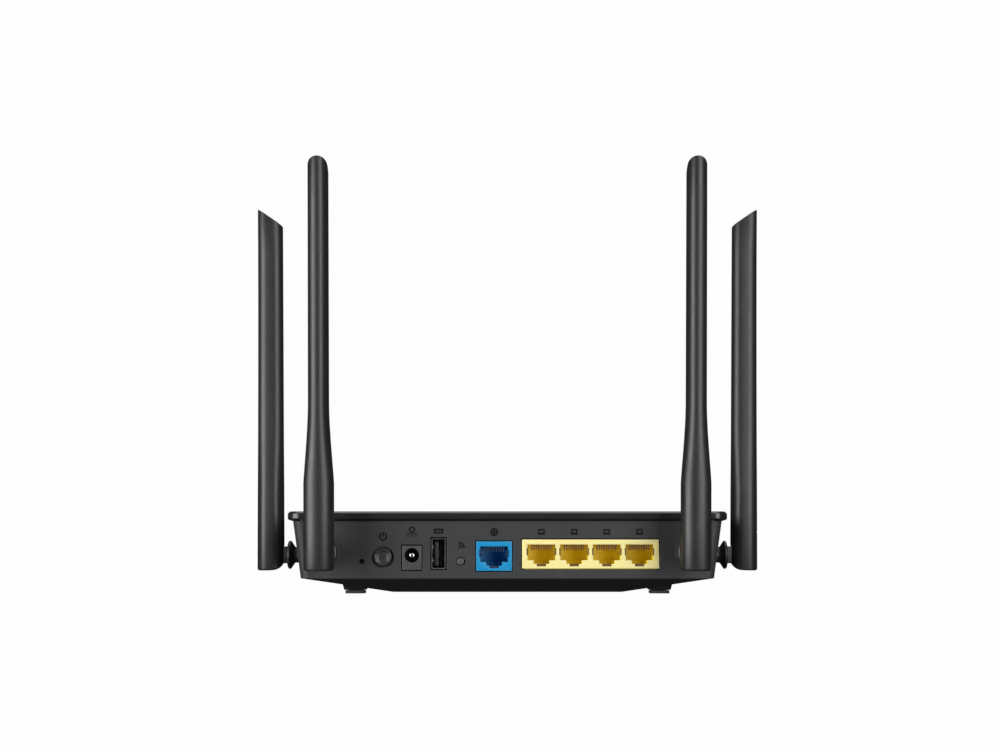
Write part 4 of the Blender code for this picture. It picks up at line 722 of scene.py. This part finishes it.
def antenna_frames():
    """Each antenna's collar frame and whip frame, read from its two joints."""
    joints = {joint["name"]: joint for joint in frame["joints"]}
    frames = {}
    for antenna in ANTENNAS:
        swivel, tilt = joints[f"swivel_{antenna}"], joints[f"tilt_{antenna}"]
        out = -Vector(swivel["axis"])
        hinge = Vector(tilt["axis"])
        up = out.cross(hinge)
        turn = Matrix((out, hinge, up)).transposed().to_4x4()
        lean = math.radians(-tilt["range_deg"][0])
        collar = Matrix.Translation(swivel["pos_m"]) @ turn
        whip = Matrix.Translation(tilt["pos_m"]) @ turn @ Matrix.Rotation(lean, 4, "Y")
        frames[antenna] = (collar, whip)
    return frames


def whip_section(z, shrink=0.0):
    """Inner X, outer X and half width of the whip at a height above its pin."""
    along = (z + WHIP_BELOW_PIN) / (WHIP_ABOVE_PIN + WHIP_BELOW_PIN)
    share = min(max((z - WHIP_FLARE_START) / WHIP_FLARE_LENGTH, 0.0), 1.0)
    eased = 1.0 - (1.0 - share) ** 2.2
    flare = share * share * (3.0 - 2.0 * share) * 0.5 + eased * 0.5
    half = WHIP_WIDE_HALF + (WHIP_SLIM_HALF - WHIP_WIDE_HALF) * flare
    inner = WHIP_INNER_X + WHIP_INNER_LEAN * along
    outer = WHIP_INNER_X + WHIP_DEPTH + WHIP_TIP_KICK * max(along, 0.0) ** 4
    return inner + shrink, outer - shrink, half - shrink


def whip_stations():
    """Heights and shrinks of the whip's sections, from the rounded foot to past the tip."""
    foot = [(-WHIP_BELOW_PIN, 0.0010), (-WHIP_BELOW_PIN + 0.00012, 0.00055),
            (-WHIP_BELOW_PIN + 0.0004, 0.0002), (-WHIP_BELOW_PIN + 0.0010, 0.0)]
    flare = [(WHIP_FLARE_START + WHIP_FLARE_LENGTH * step / 12.0, 0.0) for step in range(13)]
    upper = [(z, 0.0) for z in (0.085, 0.110, 0.130, 0.145, WHIP_ABOVE_PIN + 0.0020)]
    return foot + flare + upper


def draw_whip_body():
    """Pull the whip up from its foot, section by section, and slant its tip."""
    put_tools_down()
    stations = whip_stations()
    z, shrink = stations[0]
    inner, outer, half = whip_section(z, shrink)
    bpy.ops.mesh.primitive_plane_add(size=1.0, location=((inner + outer) / 2.0, 0.0, z))
    whip = bpy.context.object
    whip.scale = (outer - inner, 2.0 * WHIP_SLIM_HALF, 1.0)
    settle(whip)
    open_up(whip)
    bpy.ops.mesh.select_all(action="SELECT")
    bpy.ops.mesh.bevel(offset=WHIP_CORNER, offset_type="OFFSET", segments=7, affect="VERTICES")
    bpy.ops.mesh.select_all(action="SELECT")
    bpy.ops.transform.resize(value=(1.0, half / WHIP_SLIM_HALF, 1.0), center_override=(0.0, 0.0, z))
    for next_z, next_shrink in stations[1:]:
        next_inner, next_outer, next_half = whip_section(next_z, next_shrink)
        middle, next_middle = (inner + outer) / 2.0, (next_inner + next_outer) / 2.0
        pull_out((next_middle - middle, 0.0, next_z - z))
        bpy.ops.transform.resize(value=((next_outer - next_inner) / (outer - inner), next_half / half, 1.0),
                                 center_override=(next_middle, 0.0, next_z))
        z, inner, outer, half = next_z, next_inner, next_outer, next_half
    bpy.ops.mesh.select_all(action="SELECT")
    bpy.ops.mesh.normals_make_consistent(inside=False)
    tip = (WHIP_INNER_X + WHIP_DEPTH + WHIP_TIP_KICK, 0.0, WHIP_ABOVE_PIN)
    normal = (-math.sin(WHIP_TIP_SLANT), 0.0, math.cos(WHIP_TIP_SLANT))
    bpy.ops.mesh.bisect(plane_co=tip, plane_no=normal, use_fill=True, clear_outer=True)

    def on_tip(edge):
        level = all(abs((vert.co - Vector(tip)).dot(Vector(normal))) < 0.00001 for vert in edge.verts)
        return level and len(edge.link_faces) == 2

    pick(whip, "EDGE", on_tip)
    bpy.ops.mesh.bevel(offset=WHIP_TIP_ROUND, segments=3, affect="EDGES", clamp_overlap=False)
    close_up()
    return whip


def seam_tool():
    """A thin curved sliver that follows the whip's outer face for a short way."""
    outer = WHIP_INNER_X + WHIP_DEPTH
    low_z, high_z = WHIP_SEAM_Z - WHIP_SEAM_HALF_HEIGHT, WHIP_SEAM_Z + WHIP_SEAM_HALF_HEIGHT
    sliver = new_block("seam_tool", (0.0, WHIP_SEAM_ENDS[0], low_z),
                       (outer + 0.001, WHIP_SEAM_ENDS[1], high_z))
    core = new_rod("seam_core", (0.0, 0.0, 0.0), (0.0, 0.0, 2.0 * WHIP_SEAM_Z),
                   WHIP_CORNER - WHIP_SEAM_DEPTH, 96)
    spread = WHIP_WIDE_HALF / WHIP_SLIM_HALF
    middle_y = -(WHIP_WIDE_HALF - WHIP_CORNER * spread)
    cut(sliver, move_to(core, Matrix.Translation((outer - WHIP_CORNER, middle_y, 0.0))
                        @ Matrix.Diagonal((1.0, spread, 1.0, 1.0))))
    return sliver


def shape_whip():
    """One whip with its fork, heel, pin bore and hollow."""
    whip = draw_whip_body()
    cut(whip, seam_tool())
    reach, slot, half = HINGE_REACH, HINGE_SLOT_R, HINGE_SLOT_HALF
    heel = new_block("heel_tool", (-reach, -0.0093, -reach), (0.0, 0.0093, 0.0))
    cut(heel, new_rod("heel_round", (0.0, -0.0100, 0.0), (0.0, 0.0100, 0.0), WHIP_HEEL_R, 64))
    cut(whip,
        heel,
        new_block("slot_tool", (-reach, -half, -reach), (0.0, half, slot)),
        new_block("slot_tool", (-reach - 0.001, -half, -reach - 0.001), (slot, half, 0.0)),
        new_rod("slot_round", (0.0, -half, 0.0), (0.0, half, 0.0), slot, 64),
        new_rod("pin_bore", (0.0, -PIN_BORE_HALF, 0.0), (0.0, PIN_BORE_HALF, 0.0), PIN_BORE_R, 24),
        new_block("neck_tool", (CAVITY_LOW[0], -CAVITY_NECK_HALF, 0.0020),
                  (CAVITY_HIGH[0], CAVITY_NECK_HALF, CAVITY_LOW[2] + 0.0010)),
        new_block("cavity_tool", CAVITY_LOW, CAVITY_HIGH))
    return whip


def shape_collar():
    """One collar: bored barrel, snap ring, cone, grooved rim and tongue."""
    collar = turn_on_lathe("collar", COLLAR_STATIONS, 64)
    move_to(collar, Matrix.Rotation(math.radians(90.0), 4, "Y"))
    tongue = new_block("tongue", (TONGUE_ROOT, -TONGUE_HALF_THICKNESS, -TONGUE_HALF_HEIGHT),
                       (PIN_REACH + TONGUE_HALF_HEIGHT, TONGUE_HALF_THICKNESS, TONGUE_HALF_HEIGHT))
    open_up(tongue)
    end_x = PIN_REACH + TONGUE_HALF_HEIGHT - 0.0001
    pick(tongue, "EDGE", lambda edge: all(vert.co.x > end_x for vert in edge.verts)
         and abs(edge.verts[0].co.y - edge.verts[1].co.y) > TONGUE_HALF_THICKNESS)
    bpy.ops.mesh.bevel(offset=TONGUE_HALF_HEIGHT * 0.998, segments=10, affect="EDGES", clamp_overlap=False)
    close_up()
    soften(tongue, 0.0002)
    work(collar, tongue, "UNION")
    half = TONGUE_HALF_THICKNESS + 0.001
    cut(collar, new_rod("pin_bore", (PIN_REACH, -half, 0.0), (PIN_REACH, half, 0.0), PIN_BORE_R, 24))
    return collar


def build_antennas(finishes):
    """Four collars and four whips, each from one master."""
    master_whip, master_collar = shape_whip(), shape_collar()
    for antenna, (collar_place, whip_place) in antenna_frames().items():
        whip = move_to(another(master_whip, f"whip_shell_{antenna}"), whip_place)
        hand_over(whip, f"whip_{antenna}", finishes["whip"], "black_plastic", f"whip_{antenna}",
                  smooth=28.0)
        collar = move_to(another(master_collar, f"collar_shell_{antenna}"), collar_place)
        hand_over(collar, f"collar_{antenna}", finishes["whip"], "black_plastic", f"collar_{antenna}")
    for master in (master_whip, master_collar):
        bpy.data.objects.remove(master)


# ---------------------------------------------------------------- sockets

def lan_middles():
    """The middle of each network socket in the block of four."""
    return [LAN_MIDDLE_X + LAN_PITCH * (index - 1.5) for index in range(4)]


def cut_port(block, x, face_y, opening_top):
    """Cut one network socket's opening, with its side slots and stepped latch notch."""
    back_y = face_y + PORT_DEPTH
    front_y = face_y - 0.0020
    half = PORT_WIDTH / 2.0
    cut(block,
        new_block("port_tool", (x - half, front_y, opening_top - PORT_HEIGHT),
                  (x + half, back_y, opening_top)),
        new_block("port_tool", (x - SLOT_WIDTH / 2.0, front_y, opening_top - SLOT_BOTTOM),
                  (x + SLOT_WIDTH / 2.0, back_y - 0.0004, opening_top - SLOT_TOP)))
    level = opening_top - PORT_HEIGHT
    for width, drop in LATCH_STEPS:
        cut(block, new_block("latch_tool", (x - width / 2.0, front_y, level - drop),
                             (x + width / 2.0, back_y - 0.0008, level + 0.0004)))
        level -= drop


def add_comb(x, face_y, opening_top):
    """The ribs that keep the contact wires apart, below the opening's roof."""
    ribs = []
    for index in range(WIRE_COUNT + 1):
        middle = x + (index - WIRE_COUNT / 2.0) * WIRE_PITCH
        rib = new_block("comb_rib", (middle - RIB_HALF_WIDTH, face_y + RIB_START, opening_top - COMB_DROP),
                        (middle + RIB_HALF_WIDTH, face_y + RIB_END, opening_top + 0.0002))
        soften(rib, 0.00008, 1)
        ribs.append(rib)
    return ribs


def add_painted_shade_plates(x, face_y, opening_top):
    """Dark plates of painted shade, set back in the side slots and behind the lower latch notch."""
    (_, first_drop), (latch_width, latch_drop) = LATCH_STEPS
    level = opening_top - PORT_HEIGHT - first_drop - latch_drop
    plates = [new_block("painted_shade_plate", (x - latch_width / 2.0, face_y + 0.0007, level),
                        (x + latch_width / 2.0, face_y + 0.0011, level + latch_drop))]
    for side in (-1.0, 1.0):
        ends = sorted((x + side * (PORT_WIDTH / 2.0 - 0.0002), x + side * SLOT_WIDTH / 2.0))
        plates.append(new_block("painted_shade_plate", (ends[0], face_y + 0.0006, opening_top - SLOT_BOTTOM),
                                (ends[1], face_y + 0.0010, opening_top - SLOT_TOP)))
    for plate in plates:
        soften(plate, 0.00006, 1)
    return plates


def build_socket_block(name, node, face_bottom, ports, finish, shade, slot):
    """A network socket block with its ports, its combs and its foot on the board."""
    low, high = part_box(node)
    block = new_block(name, (low.x, low.y, face_bottom), high)
    open_up(block)
    pick(block, "FACE", lambda face: face.normal.z < -0.9)
    bpy.ops.mesh.inset(thickness=BLOCK_FOOT_MARGIN)
    pull_out((0.0, 0.0, low.z - face_bottom))
    bpy.ops.transform.translate(value=(0.0, BLOCK_FOOT_SHIFT, 0.0))
    close_up()
    opening_top = high.z - PORT_TOP_MARGIN
    for x in ports:
        cut_port(block, x, low.y, opening_top)
    soften(block, 0.00009)
    inside = []
    for x in ports:
        inside += add_comb(x, low.y, opening_top) + add_painted_shade_plates(x, low.y, opening_top)
    hand_over(block, "case", finish, slot, node)
    # The combs and the plates take the dark painted-shade finish, so the sockets' insides look shaded.
    hand_over(gather(f"{name}_painted_shade_pieces", inside), "case", shade, slot)


def shape_wire():
    """One contact wire: it leaves the roof, dips back into the socket and curls up."""
    wire = new_block("contact_wire", (-WIRE_HALF_WIDTH, 0.0, -WIRE_THICKNESS),
                     (WIRE_HALF_WIDTH, 0.0006, 0.0))
    open_up(wire)
    pick(wire, "FACE", lambda face: face.normal.y > 0.9)
    for step_y, step_z in WIRE_STEPS:
        pull_out((0.0, step_y, step_z))
    close_up()
    soften(wire, 0.00008, 1)
    return wire


def build_contacts(finishes):
    """Eight gold-flashed wires in each network port."""
    wire = shape_wire()
    wires = [wire] + [another(wire, "contact_wire", (index * WIRE_PITCH, 0.0, 0.0))
                      for index in range(1, WIRE_COUNT)]
    comb = gather("contact_wires", wires)
    nodes = [f"lan_contacts_{index}" for index in range(1, 5)] + ["wan_contacts"]
    for node in nodes:
        low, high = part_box(node)
        first_x = (low.x + high.x) / 2.0 - (WIRE_COUNT - 1) / 2.0 * WIRE_PITCH
        wires = another(comb, f"wires_{node}", (first_x, low.y, high.z))
        hand_over(wires, "case", finishes["gold"], "gold_plate", node)
    bpy.data.objects.remove(comb)


def build_usb(finishes):
    """The folded USB shell with its spring tabs, and its tongue with four contact strips."""
    low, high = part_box("usb_shell")
    shell = new_block("usb_shell_folded", low, high)
    open_up(shell)
    pick(shell, "EDGE", lambda edge: abs(edge.verts[0].co.y - edge.verts[1].co.y) > 0.010)
    bpy.ops.mesh.bevel(offset=USB_CORNER, segments=4, affect="EDGES")
    pick(shell, "FACE", lambda face: face.normal.y < -0.9)
    bpy.ops.mesh.inset(thickness=USB_WALL)
    pull_out((0.0, high.y - low.y - USB_WALL, 0.0))
    close_up()
    soften(shell, 0.00008, 1, 50.0)
    tabs = []
    for share in USB_TAB_HEIGHTS:
        z = low.z + (high.z - low.z) * share
        for side_x, lean in ((low.x + USB_WALL, USB_TAB_LEAN), (high.x - USB_WALL, -USB_TAB_LEAN)):
            tab = new_block("usb_tab", (-0.00012, 0.0, -0.0011), (0.00012, USB_TAB_LENGTH, 0.0011))
            open_up(tab)
            pick(tab, "FACE", lambda face: face.normal.y > 0.9)
            bpy.ops.transform.translate(value=(lean, 0.0, 0.0))
            close_up()
            tabs.append(move_to(tab, Matrix.Translation((side_x, low.y + USB_TAB_START, z))))
    shell = gather("usb_shell_folded", [shell] + tabs)
    hand_over(shell, "case", finishes["tin"], "tin_plate", "usb_shell")

    tongue = merged_copy("usb_tongue", "usb_tongue_black")
    soften(tongue, 0.00015)
    hand_over(tongue, "case", finishes["dark"], "dark_plastic", "usb_tongue")
    t_low, t_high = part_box("usb_tongue")
    blade_x = USB_X - USB_BLADE_SHIFT
    strips = []
    for z in USB_STRIP_ZS:
        middle_z = (t_low.z + t_high.z) / 2.0 + z
        strip = new_block("usb_strip", (blade_x - 0.00002, t_low.y + 0.0008, middle_z - 0.0006),
                          (blade_x + 0.00012, t_low.y + 0.0085, middle_z + 0.0006))
        soften(strip, 0.00005, 1)
        strips.append(strip)
    hand_over(gather("usb_strips", strips), "case", finishes["gold"], "gold_plate")


def build_inlet(finishes):
    """The grey power inlet block and its round hole, and the bright centre pin."""
    low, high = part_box("dc_jack_body")
    x = (low.x + high.x) / 2.0
    block = new_block("inlet_block", low, high)
    soften(block, 0.0003)
    cut(block,
        new_rod("hole_tool", (x, low.y - 0.002, DC_HOLE_Z), (x, low.y + DC_HOLE_DEPTH, DC_HOLE_Z),
                DC_HOLE_R, 64),
        new_rod("pin_tool", (x, low.y, DC_HOLE_Z), (x, high.y + 0.002, DC_HOLE_Z), INLET_PIN_BORE_R, 32))
    chamfer = turn_on_lathe("chamfer_tool", ((-0.0004, DC_HOLE_R - 0.0002), (0.0002, DC_HOLE_R + 0.0004)),
                            64)
    cut(block, face_out(chamfer, x, low.y, DC_HOLE_Z))
    hand_over(block, "case", finishes["dc_grey"], "grey_plastic", "dc_jack_body")

    pin_low, pin_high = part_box("dc_jack_pin")
    length = pin_high.y - pin_low.y
    stem = ((-length, 0.0019), (-length + 0.0010, 0.0021), (-length + 0.0010, 0.0012))
    pin = turn_on_lathe("inlet_pin", stem + INLET_PIN_TIP, 32)
    face_out(pin, x, pin_low.y, DC_HOLE_Z)
    hand_over(pin, "case", finishes["steel"], "steel", "dc_jack_pin")


# ---------------------------------------------------------------- buttons

def build_buttons(finishes):
    """The dished power button and the domed pairing button."""
    power = face_out(turn_on_lathe("power_cap", POWER_CAP, 64), POWER_X, PANEL_Y, POWER_Z)
    hand_over(power, "power_button", finishes["button"], "black_plastic", "power_button", smooth=50.0)

    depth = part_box("pairing_button")[1].y - PANEL_Y
    stations = ((-depth, PAIR_STEM_R),) + PAIR_CAP
    pair = face_out(turn_on_lathe("pairing_cap", stations, 40), PAIR_X, PANEL_Y, PAIR_Z)
    hand_over(pair, "pairing_button", finishes["pair_grey"], "grey_plastic", "pairing_button", smooth=50.0)


# ---------------------------------------------------------------- raised symbols

def symbol_bar(low_x, low_z, high_x, high_z):
    """A thin raised bar on the port panel."""
    bar = new_block("symbol_bar", (low_x, PANEL_Y - SYMBOL_HEIGHT, low_z),
                    (high_x, PANEL_Y + 0.0001, high_z))
    soften(bar, 0.00006, 1)
    return bar


def symbol_frame(x, z, half_x, half_z):
    """Four bars round a rectangle."""
    line = SYMBOL_LINE
    return [symbol_bar(x - half_x, z + half_z - line, x + half_x, z + half_z),
            symbol_bar(x - half_x, z - half_z, x + half_x, z - half_z + line),
            symbol_bar(x - half_x, z - half_z + line, x - half_x + line, z + half_z - line),
            symbol_bar(x + half_x - line, z - half_z + line, x + half_x, z + half_z - line)]


def symbol_ring(x, z, radius, *gaps):
    """A thin raised ring on the port panel, with boxes cut out of it."""
    ring = new_ring("symbol_ring", (x, PANEL_Y, z), radius, SYMBOL_LINE)
    for low_x, low_z, high_x, high_z in gaps:
        cut(ring, new_block("gap_tool", (low_x, PANEL_Y - 0.001, low_z), (high_x, PANEL_Y + 0.001, high_z)))
    return ring


def power_symbol(x, z):
    """An open ring with a stroke through its gap."""
    half = SYMBOL_LINE / 2.0
    return [symbol_ring(x, z, 0.0015, (x - 0.0007, z, x + 0.0007, z + 0.003)),
            symbol_bar(x - half, z - 0.0001, x + half, z + 0.0020)]


def inlet_symbol(x, z):
    """A ring with a bar and dashes below it, for direct current."""
    parts = [symbol_ring(x, z + 0.0010, 0.0011), symbol_bar(x - 0.0024, z - 0.0010, x + 0.0024, z - 0.0006)]
    return parts + [symbol_bar(x + shift - 0.0005, z - 0.0019, x + shift + 0.0005, z - 0.0015)
                    for shift in (-0.0019, 0.0, 0.0019)]


def usb_symbol(x, z):
    """A flat plug seen from the front."""
    return symbol_frame(x, z, 0.0020, 0.0011) + [symbol_bar(x - 0.0012, z - 0.0001, x + 0.0012, z + 0.0003)]


def wave_symbol(x, z):
    """A dot and two quarter rings."""
    parts = [symbol_bar(x - 0.0012, z - 0.0012, x - 0.0006, z - 0.0006)]
    for radius in (0.0013, 0.0024):
        corner_x, corner_z = x - 0.0010, z - 0.0010
        parts.append(symbol_ring(corner_x, corner_z, radius,
                                 (corner_x - 0.004, corner_z - 0.004, corner_x, corner_z + 0.004),
                                 (corner_x - 0.001, corner_z - 0.004, corner_x + 0.004, corner_z)))
    return parts


def globe_symbol(x, z):
    """A ring with two crossing bars."""
    half = SYMBOL_LINE / 2.0
    return [symbol_ring(x, z, 0.0014), symbol_bar(x - 0.0013, z - half, x + 0.0013, z + half),
            symbol_bar(x - half, z - 0.0013, x + half, z + 0.0013)]


def socket_symbol(x, z):
    """A small socket seen from the front."""
    return symbol_frame(x, z, 0.0014, 0.0012) + [symbol_bar(x - 0.0006, z - 0.0009, x + 0.0006, z - 0.0004)]


def build_symbols(finishes):
    """Plain raised symbols above the buttons and sockets."""
    parts = power_symbol(POWER_X, POWER_SYMBOL_Z) + inlet_symbol(INLET_X, INLET_SYMBOL_Z)
    parts += usb_symbol(USB_X, USB_SYMBOL_Z)
    parts += wave_symbol(PAIR_X + 0.0002, PAIR_SYMBOL_Z) + globe_symbol(WAN_X, WAN_SYMBOL_Z)
    for x in lan_middles():
        parts += socket_symbol(x, LAN_SYMBOL_Z)
    hand_over(gather("panel_symbols", parts), "case", finishes["glyph"], "black_plastic")


# ---------------------------------------------------------------- underside

def build_feet(finishes):
    """Four rounded rubber pads on stems."""
    for corner in CORNERS:
        node = f"foot_{corner}"
        low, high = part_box(node)
        pad = new_block(f"pad_{corner}", low, (high.x, high.y, PAD_THICKNESS))
        open_up(pad)
        pick(pad, "EDGE", lambda edge: abs(edge.verts[0].co.z - edge.verts[1].co.z) > 0.001)
        bpy.ops.mesh.bevel(offset=PAD_CORNER, segments=6, affect="EDGES")
        pick(pad, "FACE", lambda face: face.normal.z > 0.9)
        bpy.ops.mesh.inset(thickness=PAD_MARGIN)
        pull_out((0.0, 0.0, high.z - PAD_THICKNESS))
        close_up()
        soften(pad, 0.0003, 3, 50.0)
        hand_over(pad, "case", finishes["rubber"], "foot_rubber", node)


def shape_screw(length):
    """One case screw, head down, with a cross in its head."""
    shaft = ((SCREW_HEAD[-1][0], SCREW_SHAFT_R), (length - SCREW_END, SCREW_SHAFT_R), (length, SCREW_END_R))
    screw = turn_on_lathe("screw", SCREW_HEAD + shaft, 28)
    for turn in (0.0, 90.0):
        blade = new_block("cross_tool", CROSS_LOW, CROSS_HIGH)
        cut(screw, move_to(blade, Matrix.Rotation(math.radians(turn), 4, "Z")))
    return screw


def build_screws(finishes):
    """Four case screws, copies of one."""
    low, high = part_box(f"case_screw_{CORNERS[0]}")
    master = shape_screw(high.z - low.z)
    for corner in CORNERS:
        node = f"case_screw_{corner}"
        low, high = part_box(node)
        place = ((low.x + high.x) / 2.0, (low.y + high.y) / 2.0, low.z)
        screw = another(master, f"screw_{corner}", place)
        hand_over(screw, "case", finishes["steel"], "steel", node)
    bpy.data.objects.remove(master)


# ---------------------------------------------------------------- studio

def add_softbox(name, place, size, power, upright):
    """A soft lamp aimed at the middle of the router, or level across it."""
    put_tools_down()
    aim = Vector((0.0, 0.0, place[2] if upright else 0.05)) - Vector(place)
    bpy.ops.object.light_add(type="AREA", location=place, rotation=aim.to_track_quat("-Z", "Y").to_euler())
    lamp = bpy.context.object
    lamp.name = name
    lamp.data.shape = "RECTANGLE"
    lamp.data.size, lamp.data.size_y = size
    lamp.data.energy = power
    lamp.visible_camera = False


def paper():
    """Pale studio paper, lit from behind so that it has one even shade."""
    finish = Finish("studio_paper")
    finish.set(Base_Color=(*grey(0.0), 1.0), Roughness=0.9, Specular_IOR_Level=0.0,
               Emission_Color=(*grey(1.0), 1.0), Emission_Strength=PAPER_SHADE)
    return finish.material


def build_studio():
    """Pale floor, pale surroundings and soft lamps."""
    put_tools_down()
    bpy.ops.mesh.primitive_circle_add(vertices=64, radius=FLOOR_R, fill_type="NGON",
                                      location=(0.0, 0.0, -0.0001))
    floor = bpy.context.object
    floor.name = "studio_floor"
    bpy.ops.mesh.primitive_uv_sphere_add(segments=48, ring_count=24, radius=SURROUND_R)
    surround = bpy.context.object
    surround.name = "studio_surround"
    shade = paper()
    for stage in (floor, surround):
        stage.data.materials.append(shade)
        stage.visible_diffuse = False
        stage.visible_glossy = False
        stage.visible_transmission = False
        stage.visible_shadow = False
    world = bpy.data.worlds.new("studio_world")
    world.use_nodes = True
    world.node_tree.nodes["Background"].inputs["Color"].default_value = WORLD_COLOUR
    bpy.context.scene.world = world
    for name, place, size, power, upright in SOFTBOXES:
        add_softbox(name, place, size, power, upright)
    bpy.context.scene.view_settings.view_transform = "Standard"


def place_camera():
    """The camera, low and looking slightly up."""
    put_tools_down()
    bpy.ops.object.camera_add(location=CAMERA_PLACE, rotation=(math.radians(90.0) + CAMERA_PITCH, 0.0, 0.0))
    camera = bpy.context.object
    camera.data.sensor_width = 36.0
    camera.data.lens = CAMERA_LENS
    camera.data.shift_x = CAMERA_SHIFT_X
    bpy.context.scene.camera = camera


def build_router():
    """All the router's visible pieces."""
    finishes = make_finishes()
    coat_cad_nodes(finishes)
    refine_case(finishes)
    refine_lid(finishes)
    build_antennas(finishes)
    build_socket_block("lan_block", "lan_jack_block", LAN_FACE_BOTTOM, lan_middles(), finishes["yellow"],
                       finishes["yellow_painted_shade"], "yellow_plastic")
    build_socket_block("wan_block", "wan_jack", WAN_FACE_BOTTOM, [WAN_X], finishes["blue"],
                       finishes["blue_painted_shade"], "blue_plastic")
    build_contacts(finishes)
    build_usb(finishes)
    build_inlet(finishes)
    build_buttons(finishes)
    build_symbols(finishes)
    build_feet(finishes)
    build_screws(finishes)


for leftover in list(bpy.data.objects):
    bpy.data.objects.remove(leftover)
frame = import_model()
build_router()
build_studio()
place_camera()
put_tools_down()
